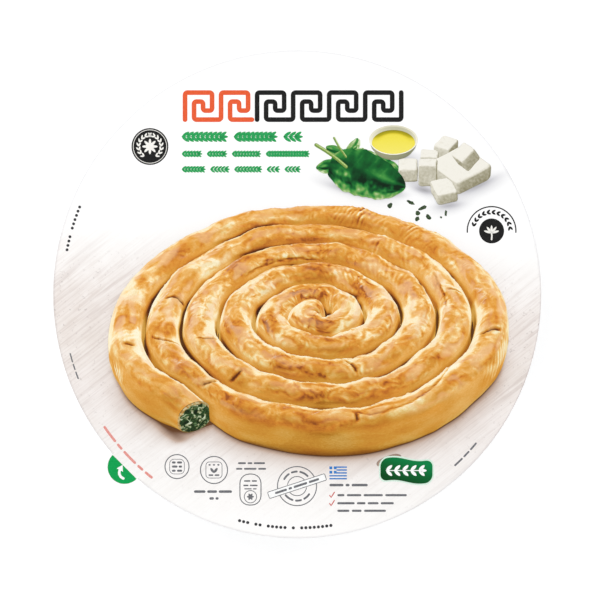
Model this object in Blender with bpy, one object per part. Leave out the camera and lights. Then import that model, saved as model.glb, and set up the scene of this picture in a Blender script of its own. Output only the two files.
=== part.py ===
"""Round sealed pack of a frozen spiral filo pie: a pressed foil tray, closed by one flat printed lid sheet.

The lid sheet is a disc with a half-round pull tab on its edge. It lies on the tray's flat flange. The
pack is shut and can't be seen into, so the tray is one solid up to its flange.

Metres, +Z up. The origin is the centre of the underside, on the surface that the pack stands on.
+Y is the top of the printed face and +X its right-hand side.
"""

import math

import bmesh
import bpy

# Driving dimensions.
LID_DIAMETER = 0.285
LID_THICKNESS = 0.0005
TRAY_DEPTH = 0.034

# The pull tab is a disc of the same sheet, centred on the lid's edge at the lower left.
TAB_RADIUS = 0.0102
TAB_BEARING = math.radians(225.0)

# The gap between two pieces that touch.
REST_GAP = 0.0003

# The tray's pressed section, from the middle of the base outwards.
FLANGE_RADIUS = LID_DIAMETER / 2 - 0.0006
FLANGE_WIDTH = 0.0075
FLANGE_THICKNESS = 0.0008
BEAD_RADIUS = 0.0012
WALL_TOP_RADIUS = FLANGE_RADIUS - FLANGE_WIDTH
WALL_SLOPE = math.radians(17.0)
SHOULDER_DROP = 0.0065
SHOULDER_STEP = 0.0016
SHOULDER_RISE = 0.0010
CORNER_RADIUS = 0.0055
REST_RING_WIDTH = 0.0115
PANEL_RISE = 0.0016
PANEL_SLOPE_WIDTH = 0.0030
INNER_PANEL_RADIUS = 0.058
INNER_PANEL_DROP = 0.0009
INNER_SLOPE_WIDTH = 0.0022

# Facets.
TURN_STEPS = 96
CORNER_STEPS = 5
BEAD_STEPS = 6
TAB_STEPS = 20

# Finishes: linear base colour, metallic, roughness.
FOIL_FINISH = ((0.80, 0.81, 0.82, 1.0), 1.0, 0.32)
SHEET_FINISH = ((0.93, 0.93, 0.93, 1.0), 0.0, 0.38)


def clear_scene():
    """Removes whatever the file opened with."""
    for thing in list(bpy.data.objects):
        bpy.data.objects.remove(thing, do_unlink=True)


def make_finish(name, finish):
    """A Principled material of one colour, metallic value and roughness."""
    colour, metallic, roughness = finish
    material = bpy.data.materials.new(name)
    material.use_nodes = True
    shader = material.node_tree.nodes["Principled BSDF"]
    shader.inputs["Base Color"].default_value = colour
    shader.inputs["Metallic"].default_value = metallic
    shader.inputs["Roughness"].default_value = roughness
    return material


def arc(centre, radius, start, end, steps):
    """Points along an arc in the (radius, height) plane, from angle start to angle end."""
    angles = [start + (end - start) * i / steps for i in range(steps + 1)]
    return [(centre[0] + radius * math.cos(a), centre[1] + radius * math.sin(a)) for a in angles]


def tray_section():
    """The tray's outer section as (radius, height), from the axis under the base to the axis on top.

    A raised panel with a lower middle, the ring that it stands on, a rounded corner, a wall that leans
    out, a shoulder, the flange's underside, a bead rolled under the flange's edge, and the flat top.
    """
    wall_run = (TRAY_DEPTH - SHOULDER_DROP) * math.tan(WALL_SLOPE)
    base_radius = WALL_TOP_RADIUS - SHOULDER_STEP - wall_run
    corner_centre = (base_radius, CORNER_RADIUS)
    ring_outer = base_radius
    panel_radius = ring_outer - REST_RING_WIDTH

    base = [
        (0.0, PANEL_RISE - INNER_PANEL_DROP),
        (INNER_PANEL_RADIUS, PANEL_RISE - INNER_PANEL_DROP),
        (INNER_PANEL_RADIUS + INNER_SLOPE_WIDTH, PANEL_RISE),
        (panel_radius - PANEL_SLOPE_WIDTH, PANEL_RISE),
        (panel_radius, 0.0),
    ]
    corner = arc(corner_centre, CORNER_RADIUS, -math.pi / 2, -WALL_SLOPE, CORNER_STEPS)

    shoulder_height = TRAY_DEPTH - SHOULDER_DROP
    corner_end = corner[-1]
    wall_top = (
        corner_end[0] + (shoulder_height - corner_end[1]) * math.tan(WALL_SLOPE),
        shoulder_height,
    )
    flange_under = TRAY_DEPTH - FLANGE_THICKNESS
    shoulder_end = (wall_top[0] + SHOULDER_STEP, shoulder_height + SHOULDER_RISE)
    neck = (shoulder_end[0] + FLANGE_THICKNESS, flange_under)

    bead_centre = (FLANGE_RADIUS - BEAD_RADIUS, TRAY_DEPTH - BEAD_RADIUS)
    bead_inner = (bead_centre[0] - BEAD_RADIUS, flange_under)
    bead = arc(bead_centre, BEAD_RADIUS, -math.pi, math.pi / 2, BEAD_STEPS)

    top_centre = (0.0, TRAY_DEPTH)
    return [*base, *corner, wall_top, shoulder_end, neck, bead_inner, *bead, top_centre]


def turned_solid(name, section):
    """A closed solid: the section, whose two ends lie on the Z axis, turned once round that axis."""
    mesh = bpy.data.meshes.new(name)
    shape = bmesh.new()
    verts = [shape.verts.new((radius, 0.0, height)) for radius, height in section]
    edges = [shape.edges.new(pair) for pair in zip(verts, verts[1:])]
    bmesh.ops.spin(
        shape,
        geom=[*verts, *edges],
        axis=(0.0, 0.0, 1.0),
        cent=(0.0, 0.0, 0.0),
        angle=2 * math.pi,
        steps=TURN_STEPS,
        use_merge=True,
    )
    bmesh.ops.remove_doubles(shape, verts=shape.verts, dist=0.000001)
    bmesh.ops.recalc_face_normals(shape, faces=shape.faces)
    shape.to_mesh(mesh)
    shape.free()
    return mesh


def lid_outline():
    """The sheet's outline, anticlockwise: the disc's edge, broken by the half-round tab at its bearing.

    The tab's circle is centred on the disc's edge, so the two circles meet where the chord from the
    tab's centre is one tab radius long: at twice asin(tab radius / 2 disc radii) round the disc.
    """
    radius = LID_DIAMETER / 2
    half_gap = 2 * math.asin(TAB_RADIUS / (2 * radius))
    start = TAB_BEARING + half_gap
    end = TAB_BEARING - half_gap + 2 * math.pi
    disc = arc((0.0, 0.0), radius, start, end, TURN_STEPS)

    tab_centre = (radius * math.cos(TAB_BEARING), radius * math.sin(TAB_BEARING))
    reach = math.pi / 2 + half_gap / 2
    tab = arc(tab_centre, TAB_RADIUS, TAB_BEARING - reach, TAB_BEARING + reach, TAB_STEPS)
    return [*disc, *tab[1:-1]]


def sheet_solid(name, outline, underside, thickness):
    """A flat sheet of the given outline and thickness, made as one face extruded upwards."""
    mesh = bpy.data.meshes.new(name)
    shape = bmesh.new()
    face = shape.faces.new([shape.verts.new((x, y, underside)) for x, y in outline])
    raised = bmesh.ops.extrude_face_region(shape, geom=[face])
    top = [item for item in raised["geom"] if isinstance(item, bmesh.types.BMVert)]
    bmesh.ops.translate(shape, verts=top, vec=(0.0, 0.0, thickness))
    bmesh.ops.recalc_face_normals(shape, faces=shape.faces)
    shape.to_mesh(mesh)
    shape.free()
    return mesh


def add_piece(mesh, material):
    """Puts a mesh in the scene as a smooth-shaded object of its own name, with its material."""
    mesh.materials.append(material)
    mesh.shade_smooth()
    mesh.set_sharp_from_angle(angle=math.radians(35.0))
    piece = bpy.data.objects.new(mesh.name, mesh)
    bpy.context.scene.collection.objects.link(piece)
    return piece


def main():
    clear_scene()
    tray = turned_solid("tray", tray_section())
    add_piece(tray, make_finish("pressed_foil", FOIL_FINISH))
    lid = sheet_solid("lid_sheet", lid_outline(), TRAY_DEPTH + REST_GAP, LID_THICKNESS)
    add_piece(lid, make_finish("printed_sheet", SHEET_FINISH))


main()
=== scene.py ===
"""Looks of a round sealed pack of spiral filo pie: a pressed foil tray closed by a flat printed lid sheet.

The print is laid on the sheet as thin closed slabs of ink. Its pictures of food are modelled as small scenes
of their own, seen from the front and above, and are then pressed flat onto the sheet. The light in them is
worked out by formula and printed with them, so it stays where it is in every view.

Lengths are millimetres until a mesh is made. x runs to the right of the printed face, y to its top, and z
up, from the centre of the tray's underside.
"""

import math

import bpy
import numpy as np
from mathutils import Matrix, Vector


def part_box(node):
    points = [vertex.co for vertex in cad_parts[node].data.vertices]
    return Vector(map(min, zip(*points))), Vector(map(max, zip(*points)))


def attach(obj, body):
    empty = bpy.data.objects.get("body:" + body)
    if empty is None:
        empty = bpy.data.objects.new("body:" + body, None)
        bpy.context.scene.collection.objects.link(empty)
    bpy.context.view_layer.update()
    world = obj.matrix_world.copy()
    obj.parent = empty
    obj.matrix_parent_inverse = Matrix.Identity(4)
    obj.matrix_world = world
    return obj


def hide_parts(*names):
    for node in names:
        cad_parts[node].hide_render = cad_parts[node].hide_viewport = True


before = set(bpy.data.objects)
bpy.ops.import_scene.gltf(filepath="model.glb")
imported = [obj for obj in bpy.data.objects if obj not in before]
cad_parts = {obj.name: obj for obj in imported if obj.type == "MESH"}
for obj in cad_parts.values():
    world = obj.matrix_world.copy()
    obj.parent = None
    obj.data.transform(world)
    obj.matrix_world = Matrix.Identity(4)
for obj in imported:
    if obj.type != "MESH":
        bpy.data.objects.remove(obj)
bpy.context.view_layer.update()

MM = 0.001
FULL_TURN = 2 * math.pi

# The sheet: its level comes from the frame.
SHEET_LOW, SHEET_HIGH = (np.array(corner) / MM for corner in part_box("lid_sheet"))
SHEET_TOP = SHEET_HIGH[2]
SHEET_THICKNESS = SHEET_HIGH[2] - SHEET_LOW[2]
SHEET_RADIUS = 142.5
TAB_RADIUS = 10.2
TAB_BEARING = math.radians(225.0)
TAB_GAP = 2 * math.asin(TAB_RADIUS / (2 * SHEET_RADIUS))
TAB_LIFT = 0.7
TAB_BEND = 1.5
# The sheet's swells: height, distance between hills, where the noise is read, and their fading at the mouth.
SWELL = 0.10
SWELL_LENGTH = 60.0
SWELL_SHIFT = (9.3, 4.1)
SWELL_MARGIN = 30.0
SHEET_RINGS = 122
# The directions of the rounded edge's points, and the underside's rings as shares of the radius.
EDGE_ANGLES = np.radians((60.0, 30.0, 0.0, -30.0, -60.0, -90.0))
UNDER_SHARES = np.array((0.97, 0.7, 0.4, 0.1))
# How much painted shade darkens the sheet's outer ring, rounded edge and underside, through the cast field.
EDGE_SHADE = 0.17

# The tray's pressed section.
TRAY_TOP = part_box("tray")[1].z / MM
FLANGE_RADIUS = 141.9
FLANGE_THICKNESS = 0.8
MOUTH_RADIUS = 134.4
WALL_SLOPE = math.radians(17.0)
SHOULDER_HEIGHT = TRAY_TOP - 6.5
SHOULDER_STEP = 1.6
SHOULDER_RISE = 1.0
BASE_RADIUS = MOUTH_RADIUS - SHOULDER_STEP - SHOULDER_HEIGHT * math.tan(WALL_SLOPE)
REST_RING = 11.5
PANEL_RISE = 1.6
INNER_PANEL_RADIUS = 58.0
INNER_PANEL_DROP = 0.9
BEAD_RADIUS = 1.2

# Ink: one pass is this thick and its foot sinks this far in. A line's section is given as shares of its half
# width and of its thickness, and a round end by directions. The pictures lie between two heights.
INK_PASS = 0.03
INK_SINK = 0.01
INK_SHOULDER = 0.6
INK_INSET = 0.96
LINE_ACROSS = np.array((-1.0, -1.0, -0.9, 0.0, 0.9, 1.0, 1.0))
LINE_HEIGHT = np.array((0.0, INK_SHOULDER, 1.0, 1.0, 1.0, INK_SHOULDER, 0.0))
ROUND_END = np.radians((82.0, 60.0, 38.0, 18.0))
PICTURE_LOW = 0.06
PICTURE_HIGH = 0.34

# The pictures' own camera looks this far down from level, and the coil's stands this far away.
PICTURE_TILT = math.radians(37.4)
PICTURE_UP = np.array((0.0, math.sin(PICTURE_TILT), math.cos(PICTURE_TILT)))
PICTURE_TOWARDS = np.array((0.0, -math.cos(PICTURE_TILT), math.sin(PICTURE_TILT)))
COIL_DISTANCE = 985.0

# The coil of filo rope as it is printed.
COIL_CENTRE = np.array((12.65, -28.2))
COIL_RADIUS = 112.5
COIL_PITCH = 20.9
COIL_TURNS = 5.47
HEART_RADIUS = 7.6
HEART_SWELL = 0.12
HEART_TUCK = 3.2
COIL_START = math.radians(229.6)
COIL_DOME = 0.1
COIL_LOBES = 0.8
ROPE_HEIGHT = 25.0
ROPE_TAPER = 0.10
ROPE_SHARPNESS = 2.3
ROPE_FOOT_SHARPNESS = 3.0
ROPE_ROWS = 4180
ROPE_TOP_COLUMNS = 62
ROPE_FOOT_COLUMNS = 7
# The rope's outer end: how far and from which turn it tucks in, the dent that it makes in the next turn and
# where, its height, the slant of its cut, the length that this takes, and its roundness.
END_TUCK = 7.5
END_DENT = 2.8
END_TUCK_TURN = math.radians(22.0)
END_PASSED = (0.10, 0.22)
END_HEIGHT = 20.0
END_SLANT = math.radians(21.0)
END_LENGTH = 16.0
END_SHARPNESS = 2.3
# The length that the dome of its inner end takes.
DOME_LENGTH = 7.0
# A dark gap between turns: how far under the next turn's crown it starts and is full, and how dark it is.
GAP_DROP = (-4.2, -6.2)
GAP_DARKNESS = 0.84
COIL_PIECES = ("coil_print_outer", "coil_print_middle", "coil_print_inner")


def unit(vector):
    """The vector, one long."""
    vector = np.asarray(vector, float)
    return vector / np.linalg.norm(vector)


# The light printed in the pictures: a window behind on the left, a pale card in front, and its gleam.
KEY_LIGHT = unit((-0.52, 0.56, 0.64))
FILL_LIGHT = unit((-0.45, -0.65, 0.60))
GLEAM = unit((-0.42, 0.30, 0.86))
# The coil's own light: from behind on the left, wrapping a little round, and from the right.
COIL_LAMPS = (
    (unit((0.00, 0.75, 0.66)), 0.30),
    (unit((-0.93, 0.20, 0.33)), 0.38),
    (unit((0.93, 0.12, 0.33)), 0.32),
)
COIL_RELIEF_LIGHT = unit((-0.45, 0.65, 0.60))


# ------------------------------------------------------------------ numbers


def unit_rows(vectors):
    """Each row of vectors at length 1."""
    return vectors / np.linalg.norm(vectors, axis=-1, keepdims=True)


def smooth(low, high, value):
    """0 below low, 1 above high, and an S-shaped cubic between them. low may be the larger."""
    t = np.clip((value - low) / (high - low), 0.0, 1.0)
    return t * t * (3 - 2 * t)


def bell(value, width):
    """A bell curve: 1 at 0, and 1 / e where the value is the width."""
    return np.exp(-((value / width) ** 2))


NOISE_CELLS = 128


def noise(u, v, seed):
    """Smooth random hills, about -1 to 1: random slopes at whole-number points, blended by a quintic.

    The hills repeat every NOISE_CELLS cells, so a pattern that goes round that many closes on itself.
    """
    lean = np.random.default_rng(seed).uniform(0, FULL_TURN, (NOISE_CELLS, NOISE_CELLS))
    u, v = np.broadcast_arrays(np.asarray(u, float), np.asarray(v, float))
    cell_u, cell_v = np.floor(u).astype(int), np.floor(v).astype(int)
    part_u, part_v = u - cell_u, v - cell_v
    blend_u = part_u**3 * (part_u * (6 * part_u - 15) + 10)
    blend_v = part_v**3 * (part_v * (6 * part_v - 15) + 10)

    def corner(i, j):
        angle = lean[(cell_u + i) % NOISE_CELLS, (cell_v + j) % NOISE_CELLS]
        return np.cos(angle) * (part_u - i) + np.sin(angle) * (part_v - j)

    low = corner(0, 0) * (1 - blend_u) + corner(1, 0) * blend_u
    high = corner(0, 1) * (1 - blend_u) + corner(1, 1) * blend_u
    return 1.5 * (low * (1 - blend_v) + high * blend_v)


def fractal(u, v, seed, octaves=3):
    """Noise summed over octaves, each half as long and half as strong as the one before."""
    return sum(noise(u * 2**k, v * 2**k, seed + k) / 2**k for k in range(octaves))


# ------------------------------------------------------------------ meshes


class Shell:
    """A closed surface: points, four-sided and three-sided faces, and a value per point for each field."""

    def __init__(self, points, quads, fans, fields):
        self.points, self.quads, self.fans, self.fields = points, quads, fans, fields


def shell(grid, fields=None, looped=False):
    """Closes a grid of points (rows, columns, 3) whose columns run round and meet.

    Each cell is a quad. The first and last rows are closed by a fan to their mean point or, when looped,
    are joined to each other. The faces are turned outwards by the sign of the volume that they enclose.
    """
    fields = fields or {}
    rows, columns = grid.shape[:2]
    number = np.arange(rows * columns).reshape(rows, columns)
    near = number
    far = np.vstack((number[1:], number[:1]))
    if not looped:
        near, far = number[:-1], number[1:]
    quads = np.stack((near, np.roll(near, -1, 1), np.roll(far, -1, 1), far), -1).reshape(-1, 4)
    points = grid.reshape(-1, 3)
    fans = np.empty((0, 3), int)
    values = {name: value.reshape(rows * columns, -1) for name, value in fields.items()}
    if not looped:
        poles = np.array((grid[0].mean(0), grid[-1].mean(0)))
        points = np.vstack((points, poles))
        first, last = number[0], number[-1]
        start = np.full(columns, rows * columns)
        opening = np.stack((start, np.roll(first, -1), first), -1)
        ending = np.stack((start + 1, last, np.roll(last, -1)), -1)
        fans = np.vstack((opening, ending))
        for name, value in values.items():
            ends = np.array((value[:columns].mean(0), value[-columns:].mean(0)))
            values[name] = np.vstack((value, ends))
    triangles = np.vstack((quads[:, :3], quads[:, [0, 2, 3]], fans))
    a, b, c = (points[triangles[:, k]] - points.mean(0) for k in range(3))
    if np.sum(a * np.cross(b, c)) < 0:
        quads, fans = quads[:, ::-1], fans[:, ::-1]
    return Shell(points, quads, fans, values)


def make_piece(name, shells, material, replaces=None, smooth_faces=False):
    """One mesh object from any number of shells, in metres, riding on the pack's one body.
    """
    starts = np.cumsum([0] + [len(part.points) for part in shells])
    points = np.vstack([part.points for part in shells])
    quads = np.vstack([part.quads + start for part, start in zip(shells, starts)])
    fans = np.vstack([part.fans + start for part, start in zip(shells, starts)])
    corners = np.concatenate((quads.ravel(), fans.ravel()))
    sizes = np.concatenate((np.full(len(quads), 4), np.full(len(fans), 3)))

    mesh = bpy.data.meshes.new(name)
    mesh.vertices.add(len(points))
    mesh.vertices.foreach_set("co", (points * MM).astype(np.float32).ravel())
    mesh.loops.add(len(corners))
    mesh.loops.foreach_set("vertex_index", corners.astype(np.int32))
    mesh.polygons.add(len(sizes))
    mesh.polygons.foreach_set("loop_start", (np.cumsum(sizes) - sizes).astype(np.int32))
    mesh.update(calc_edges=True)
    for field in shells[0].fields:
        value = np.vstack([part.fields[field] for part in shells]).astype(np.float32)
        kind, key = ("FLOAT", "value") if value.shape[1] == 1 else ("FLOAT_VECTOR", "vector")
        mesh.attributes.new(field, kind, "POINT").data.foreach_set(key, value.ravel())
    mesh.polygons.foreach_set("use_smooth", np.full(len(sizes), smooth_faces))
    mesh.materials.append(material)

    piece = bpy.data.objects.new(name, mesh)
    bpy.context.scene.collection.objects.link(piece)
    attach(piece, "root")
    if replaces:
        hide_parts(replaces)
    return piece


def grid_normals(grid):
    """Unit normals of a closed grid of points, pointing away from the middle of each row."""
    along = np.gradient(grid, axis=0)
    around = np.roll(grid, -1, 1) - np.roll(grid, 1, 1)
    normals = np.cross(around, along)
    normals /= np.linalg.norm(normals, axis=-1, keepdims=True) + 1e-12
    outward = grid - grid.mean(1, keepdims=True)
    return normals * np.sign(np.sum(normals * outward))


# ------------------------------------------------------------------ the sheet


def lid_rise(x, y):
    """How far the sheet's top lies off its level: faint swells over the tray's mouth, and the lifted tab.

    The swells are slow noise that fades to nothing where the sheet is sealed down to the flange.
    """
    radius = np.hypot(x, y)
    span = smooth(MOUTH_RADIUS, MOUTH_RADIUS - SWELL_MARGIN, radius)
    hills = noise(x / SWELL_LENGTH + SWELL_SHIFT[0], y / SWELL_LENGTH + SWELL_SHIFT[1], 3)
    swell = span * SWELL * (hills - 0.5)
    lift = TAB_LIFT * smooth(SHEET_RADIUS - TAB_BEND, SHEET_RADIUS + TAB_RADIUS, radius)
    return swell + lift


def on_sheet(x, y, height):
    """Points at a height over the sheet's top, whatever its swell."""
    return np.stack(np.broadcast_arrays(x, y, SHEET_TOP + lid_rise(x, y) + height), -1)


def sheet_grid(disc_steps=600, tab_steps=44, rings=SHEET_RINGS):
    """The sheet: rays from its centre to each point of its outline, over the top, round the edge and under.

    The outline is the disc's edge and the tab's arc, whose circle is centred on that edge. The sheet's edge
    is half a circle as high as the sheet is thick.
    """
    disc = np.linspace(TAB_BEARING + TAB_GAP, TAB_BEARING - TAB_GAP + FULL_TURN, disc_steps)
    reach = math.pi / 2 + TAB_GAP / 2
    sweep = np.linspace(-reach, reach, tab_steps + 2)[1:-1]
    tab_side = TAB_RADIUS * np.sin(sweep)
    tab_out = SHEET_RADIUS + TAB_RADIUS * np.cos(sweep)
    bearing = np.concatenate((disc, TAB_BEARING + np.arctan2(tab_side, tab_out)))
    radius = np.concatenate((np.full(disc_steps, SHEET_RADIUS), np.hypot(tab_side, tab_out)))

    half = SHEET_THICKNESS / 2
    share = np.linspace(0.0, 1.0, rings + 1)[1:, None]
    top = share * (radius - half)
    edge = radius - half + half * np.cos(EDGE_ANGLES[:, None])
    under = UNDER_SHARES[:, None] * radius
    distance = np.vstack((top, edge, under))
    edge_drop = half - half * np.sin(EDGE_ANGLES)
    drop = np.concatenate((np.zeros(rings), edge_drop, np.full(len(under), 2 * half)))
    return on_sheet(distance * np.cos(bearing), distance * np.sin(bearing), -drop[:, None])


# ------------------------------------------------------------------ ink lines and patches


def ribbon(path, width, passes=1, looped=False):
    """A line of ink: a low flat-topped section carried along a path (n, 2), with round ends.

    Past each end the path runs on by half the width, and the line narrows there as a circle's chord does.
    """
    path = np.asarray(path, float)
    half = np.full(len(path), width / 2)
    if not looped:
        onward, narrowing = np.sin(ROUND_END)[:, None] * width / 2, np.cos(ROUND_END) * width / 2
        start = path[0] - onward * unit(path[1] - path[0])
        end = path[-1] + onward[::-1] * unit(path[-1] - path[-2])
        path = np.vstack((start, path, end))
        half = np.concatenate((narrowing, half, narrowing[::-1]))
    along = np.roll(path, -1, 0) - np.roll(path, 1, 0) if looped else np.gradient(path, axis=0)
    along /= np.linalg.norm(along, axis=1, keepdims=True)
    side = np.stack((-along[:, 1], along[:, 0]), -1)
    place = path[:, None] + side[:, None] * (half[:, None] * LINE_ACROSS)[..., None]
    height = np.where(LINE_HEIGHT > 0, LINE_HEIGHT * INK_PASS * passes, -INK_SINK)
    return shell(on_sheet(place[..., 0], place[..., 1], height), looped=looped)


def patch(outline, passes=1, rings=1):
    """A patch of ink: the outline (n, 2) drawn in towards its mean point, with a low rounded edge."""
    outline = np.asarray(outline, float)
    middle = outline.mean(0)
    thick = INK_PASS * passes
    inner = np.linspace(INK_INSET, 0.0, rings, endpoint=False)
    share = np.concatenate(((1.0, 1.0), inner))[:, None, None]
    height = np.concatenate(((-INK_SINK, INK_SHOULDER * thick), np.full(rings, thick)))[:, None]
    place = middle + share * (outline - middle)
    return shell(on_sheet(place[..., 0], place[..., 1], height))


def turned(points, angle, place=(0.0, 0.0)):
    """Points (n, 2) turned about the origin and then moved."""
    cos, sin = math.cos(angle), math.sin(angle)
    return np.asarray(points) @ np.array(((cos, sin), (-sin, cos))) + np.asarray(place)


def round_outline(radius, steps=48, waves=0, depth=0.0):
    """A circle, or a rosette whose radius swings by depth of itself, waves times round."""
    angle = np.linspace(0, FULL_TURN, steps, endpoint=False)
    reach = radius * (1 + depth * np.cos(waves * angle))
    return np.stack((reach * np.cos(angle), reach * np.sin(angle)), -1)


def box_outline(width, height, corner, steps=6):
    """A rectangle whose corners are quarter circles."""
    angle = np.linspace(0, math.pi / 2, steps)
    quarter = corner * np.stack((np.cos(angle), np.sin(angle)), -1)
    shift = np.array((width / 2 - corner, height / 2 - corner))
    quarters = [turned(quarter, k * math.pi / 2) for k in range(4)]
    signs = ((1, 1), (-1, 1), (-1, -1), (1, -1))
    return np.vstack([part + shift * sign for part, sign in zip(quarters, signs)])


def leaf_outline(length, width, steps=14):
    """A pointed leaf from the origin along x: half the width times a sine to the power 1.4."""
    angle = np.linspace(0, FULL_TURN, steps, endpoint=False)
    side = np.sign(np.sin(angle)) * np.abs(np.sin(angle)) ** 1.4
    return np.stack((length / 2 * (1 - np.cos(angle)), width / 2 * side), -1)


def arc(centre, radius, start, end, steps=24):
    """Points round a circle between two angles in degrees."""
    angle = np.radians(np.linspace(start, end, steps))
    return np.asarray(centre) + radius * np.stack((np.cos(angle), np.sin(angle)), -1)


def quarter_turns(corners, radius, steps=7):
    """A line through the corners of a stepped path, whose right angles become quarter circles.

    Each circle's centre lies one radius back along the line in and one radius out along the line on.
    """
    corners = np.asarray(corners, float)
    run = np.diff(corners, axis=0)
    run /= np.linalg.norm(run, axis=1, keepdims=True)
    into, onward = run[:-1, None], run[1:, None]
    angle = np.linspace(0, math.pi / 2, steps)[None, :, None]
    centre = corners[1:-1, None] + radius * (onward - into)
    bends = centre + radius * (into * np.sin(angle) - onward * np.cos(angle))
    return np.vstack((corners[:1], bends.reshape(-1, 2), corners[-1:]))


def stretches_of(start, end, shares):
    """Stretches of a line between two points, as long as their shares say, with gaps of one unit."""
    start, end = np.asarray(start, float), np.asarray(end, float)
    total = sum(shares) + len(shares) - 1
    passed = np.cumsum([0] + [share + 1 for share in shares])[:-1]
    return [(start + (end - start) * before / total, start + (end - start) * (before + share) / total)
            for before, share in zip(passed, shares)]


def dash_row(start, end, shares, height):
    """A row of straight dashes with round ends."""
    inset = unit(np.subtract(end, start)) * height / 2
    return [ribbon(np.linspace(a + inset, b - inset, 3), height) for a, b in stretches_of(start, end, shares)]


def dash_arc(radius, start, end, shares, height, centre=(0.0, 0.0)):
    """A row of dashes round a circle, between two angles in degrees."""
    stretches = stretches_of((start, 0.0), (end, 0.0), shares)
    inset = math.copysign(math.degrees(height / 2 / radius), end - start)
    return [ribbon(arc(centre, radius, a[0] + inset, b[0] - inset, 7), height) for a, b in stretches]


def bead_arc(radius, start, end, beads, size, centre=(0.0, 0.0)):
    """Round beads in groups along a circle, between two angles in degrees."""
    stretches = stretches_of((start, 0.0), (end, 0.0), beads)
    places = [arc(centre, radius, a[0], b[0], 2 * count + 1)[1::2]
              for (a, b), count in zip(stretches, beads)]
    return [patch(round_outline(size / 2, 12) + place) for place in np.vstack(places)]


STEM_SHARE = 0.28


def sprig(start, end, leaf_length, leaf_width, pairs, lean=34.0):
    """A sprig along a line: a fine stem, pairs of leaves that lean forwards, and one leaf at its tip."""
    start, end = np.asarray(start, float), np.asarray(end, float)
    heading = math.atan2(*(end - start)[::-1])
    tip = end - unit(end - start) * leaf_length
    outline = leaf_outline(leaf_length, leaf_width)
    nodes = start + (tip - start) * np.linspace(0, 1, pairs)[:, None]
    leaves = [patch(turned(outline, heading + side * math.radians(lean), place))
              for place in nodes for side in (1, -1)]
    stem = ribbon(np.linspace(start, tip, 3), leaf_width * STEM_SHARE)
    return [stem, patch(turned(outline, heading, tip)), *leaves]


WREATH_LEAN = 28.0


def wreath(centre, radius, start, end, count, leaf_length, leaf_width):
    """Pairs of leaves along an arc, leaning out and in from it."""
    outline = leaf_outline(leaf_length, leaf_width)
    way = math.copysign(90.0, end - start)
    angles = np.linspace(start, end, count)
    places = arc(centre, radius, start, end, count)
    return [patch(turned(outline, math.radians(angle + way - side * WREATH_LEAN), place))
            for angle, place in zip(angles, places) for side in (1, -1)]


# ------------------------------------------------------------------ pictures pressed flat


def pressed(grid, place, distance=None, low=PICTURE_LOW, high=PICTURE_HIGH, span=None):
    """Presses a modelled thing flat onto the sheet, as the picture's camera sees it.

    x stays x, and the sheet's y is the thing's length along the camera's upright. What is nearer the camera
    is left higher in the print, between low and high, so it covers what lies behind. With a distance,
    lengths grow as distance / (distance - nearness). span gives the nearness that is lowest and highest.
    """
    near = grid @ PICTURE_TOWARDS
    scale = 1.0 if distance is None else distance / (distance - near)
    x = place[0] + scale * grid[..., 0]
    y = place[1] + scale * (grid @ PICTURE_UP)
    least, most = span or (near.min(), near.max())
    return on_sheet(x, y, low + (high - low) * (near - least) / (most - least))


def nearness(grids):
    """The lowest and highest nearness among several things in one picture."""
    near = [grid @ PICTURE_TOWARDS for grid in grids]
    return min(n.min() for n in near), max(n.max() for n in near)


def picture_light(normals, sky):
    """The light printed on a thing: a share of the sky, the window's light and the pale card's."""
    key = np.clip(normals @ KEY_LIGHT, 0, 1)
    fill = np.clip(normals @ FILL_LIGHT, 0, 1)
    return 0.30 * sky + 0.62 * key * sky + 0.30 * fill


# ------------------------------------------------------------------ the coil of filo


def beside_end(turn):
    """1 where the rope passes its own outer end and makes room for it."""
    return bell(turn - FULL_TURN - END_PASSED[0], END_PASSED[1])


def coil_radius(turn):
    """The spiral's radius at a turn in radians: it falls by one pitch a turn and ends at the heart's.

    It swells faintly in four lobes, and tucks in at the rope's outer end and where it passes that end.
    """
    plain = COIL_RADIUS - COIL_PITCH * turn / FULL_TURN
    lobes = COIL_LOBES * np.cos(4 * (COIL_START - turn)) * plain / COIL_RADIUS
    plain = (plain**4 + HEART_RADIUS**4) ** 0.25
    return plain + lobes - END_TUCK * smooth(END_TUCK_TURN, 0.0, turn) - END_DENT * beside_end(turn)


def coil_spine(count):
    """Rows even along the rope: the length passed, the turn reached in radians, and the radius."""
    turn = np.linspace(0.0, COIL_TURNS * FULL_TURN, 6000)
    radius = coil_radius(turn)
    pace = np.hypot(np.gradient(radius), radius * np.gradient(turn))
    passed = np.concatenate(((0.0,), np.cumsum((pace[1:] + pace[:-1]) / 2)))
    length = np.linspace(0.0, passed[-1], count)
    turn = np.interp(length, passed, turn)
    return length, turn, coil_radius(turn)


def rope_section(angle, half_width, height, sharpness=ROPE_SHARPNESS, foot_sharpness=ROPE_FOOT_SHARPNESS):
    """The rope's section: a superellipse that stands on height 0, squarer in its foot than over its crown.

    It narrows by the taper with the square of its height. angle is 0 at the crown and grows outwards.
    """
    cos, sin = np.cos(angle), np.sin(angle)
    power = 2 / np.where(cos > 0, sharpness, foot_sharpness)
    rise = (1 + np.sign(cos) * np.abs(cos) ** power) / 2
    across = half_width * np.sign(sin) * np.abs(sin) ** power * (1 - ROPE_TAPER * rise**2)
    return across, height * rise


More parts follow.
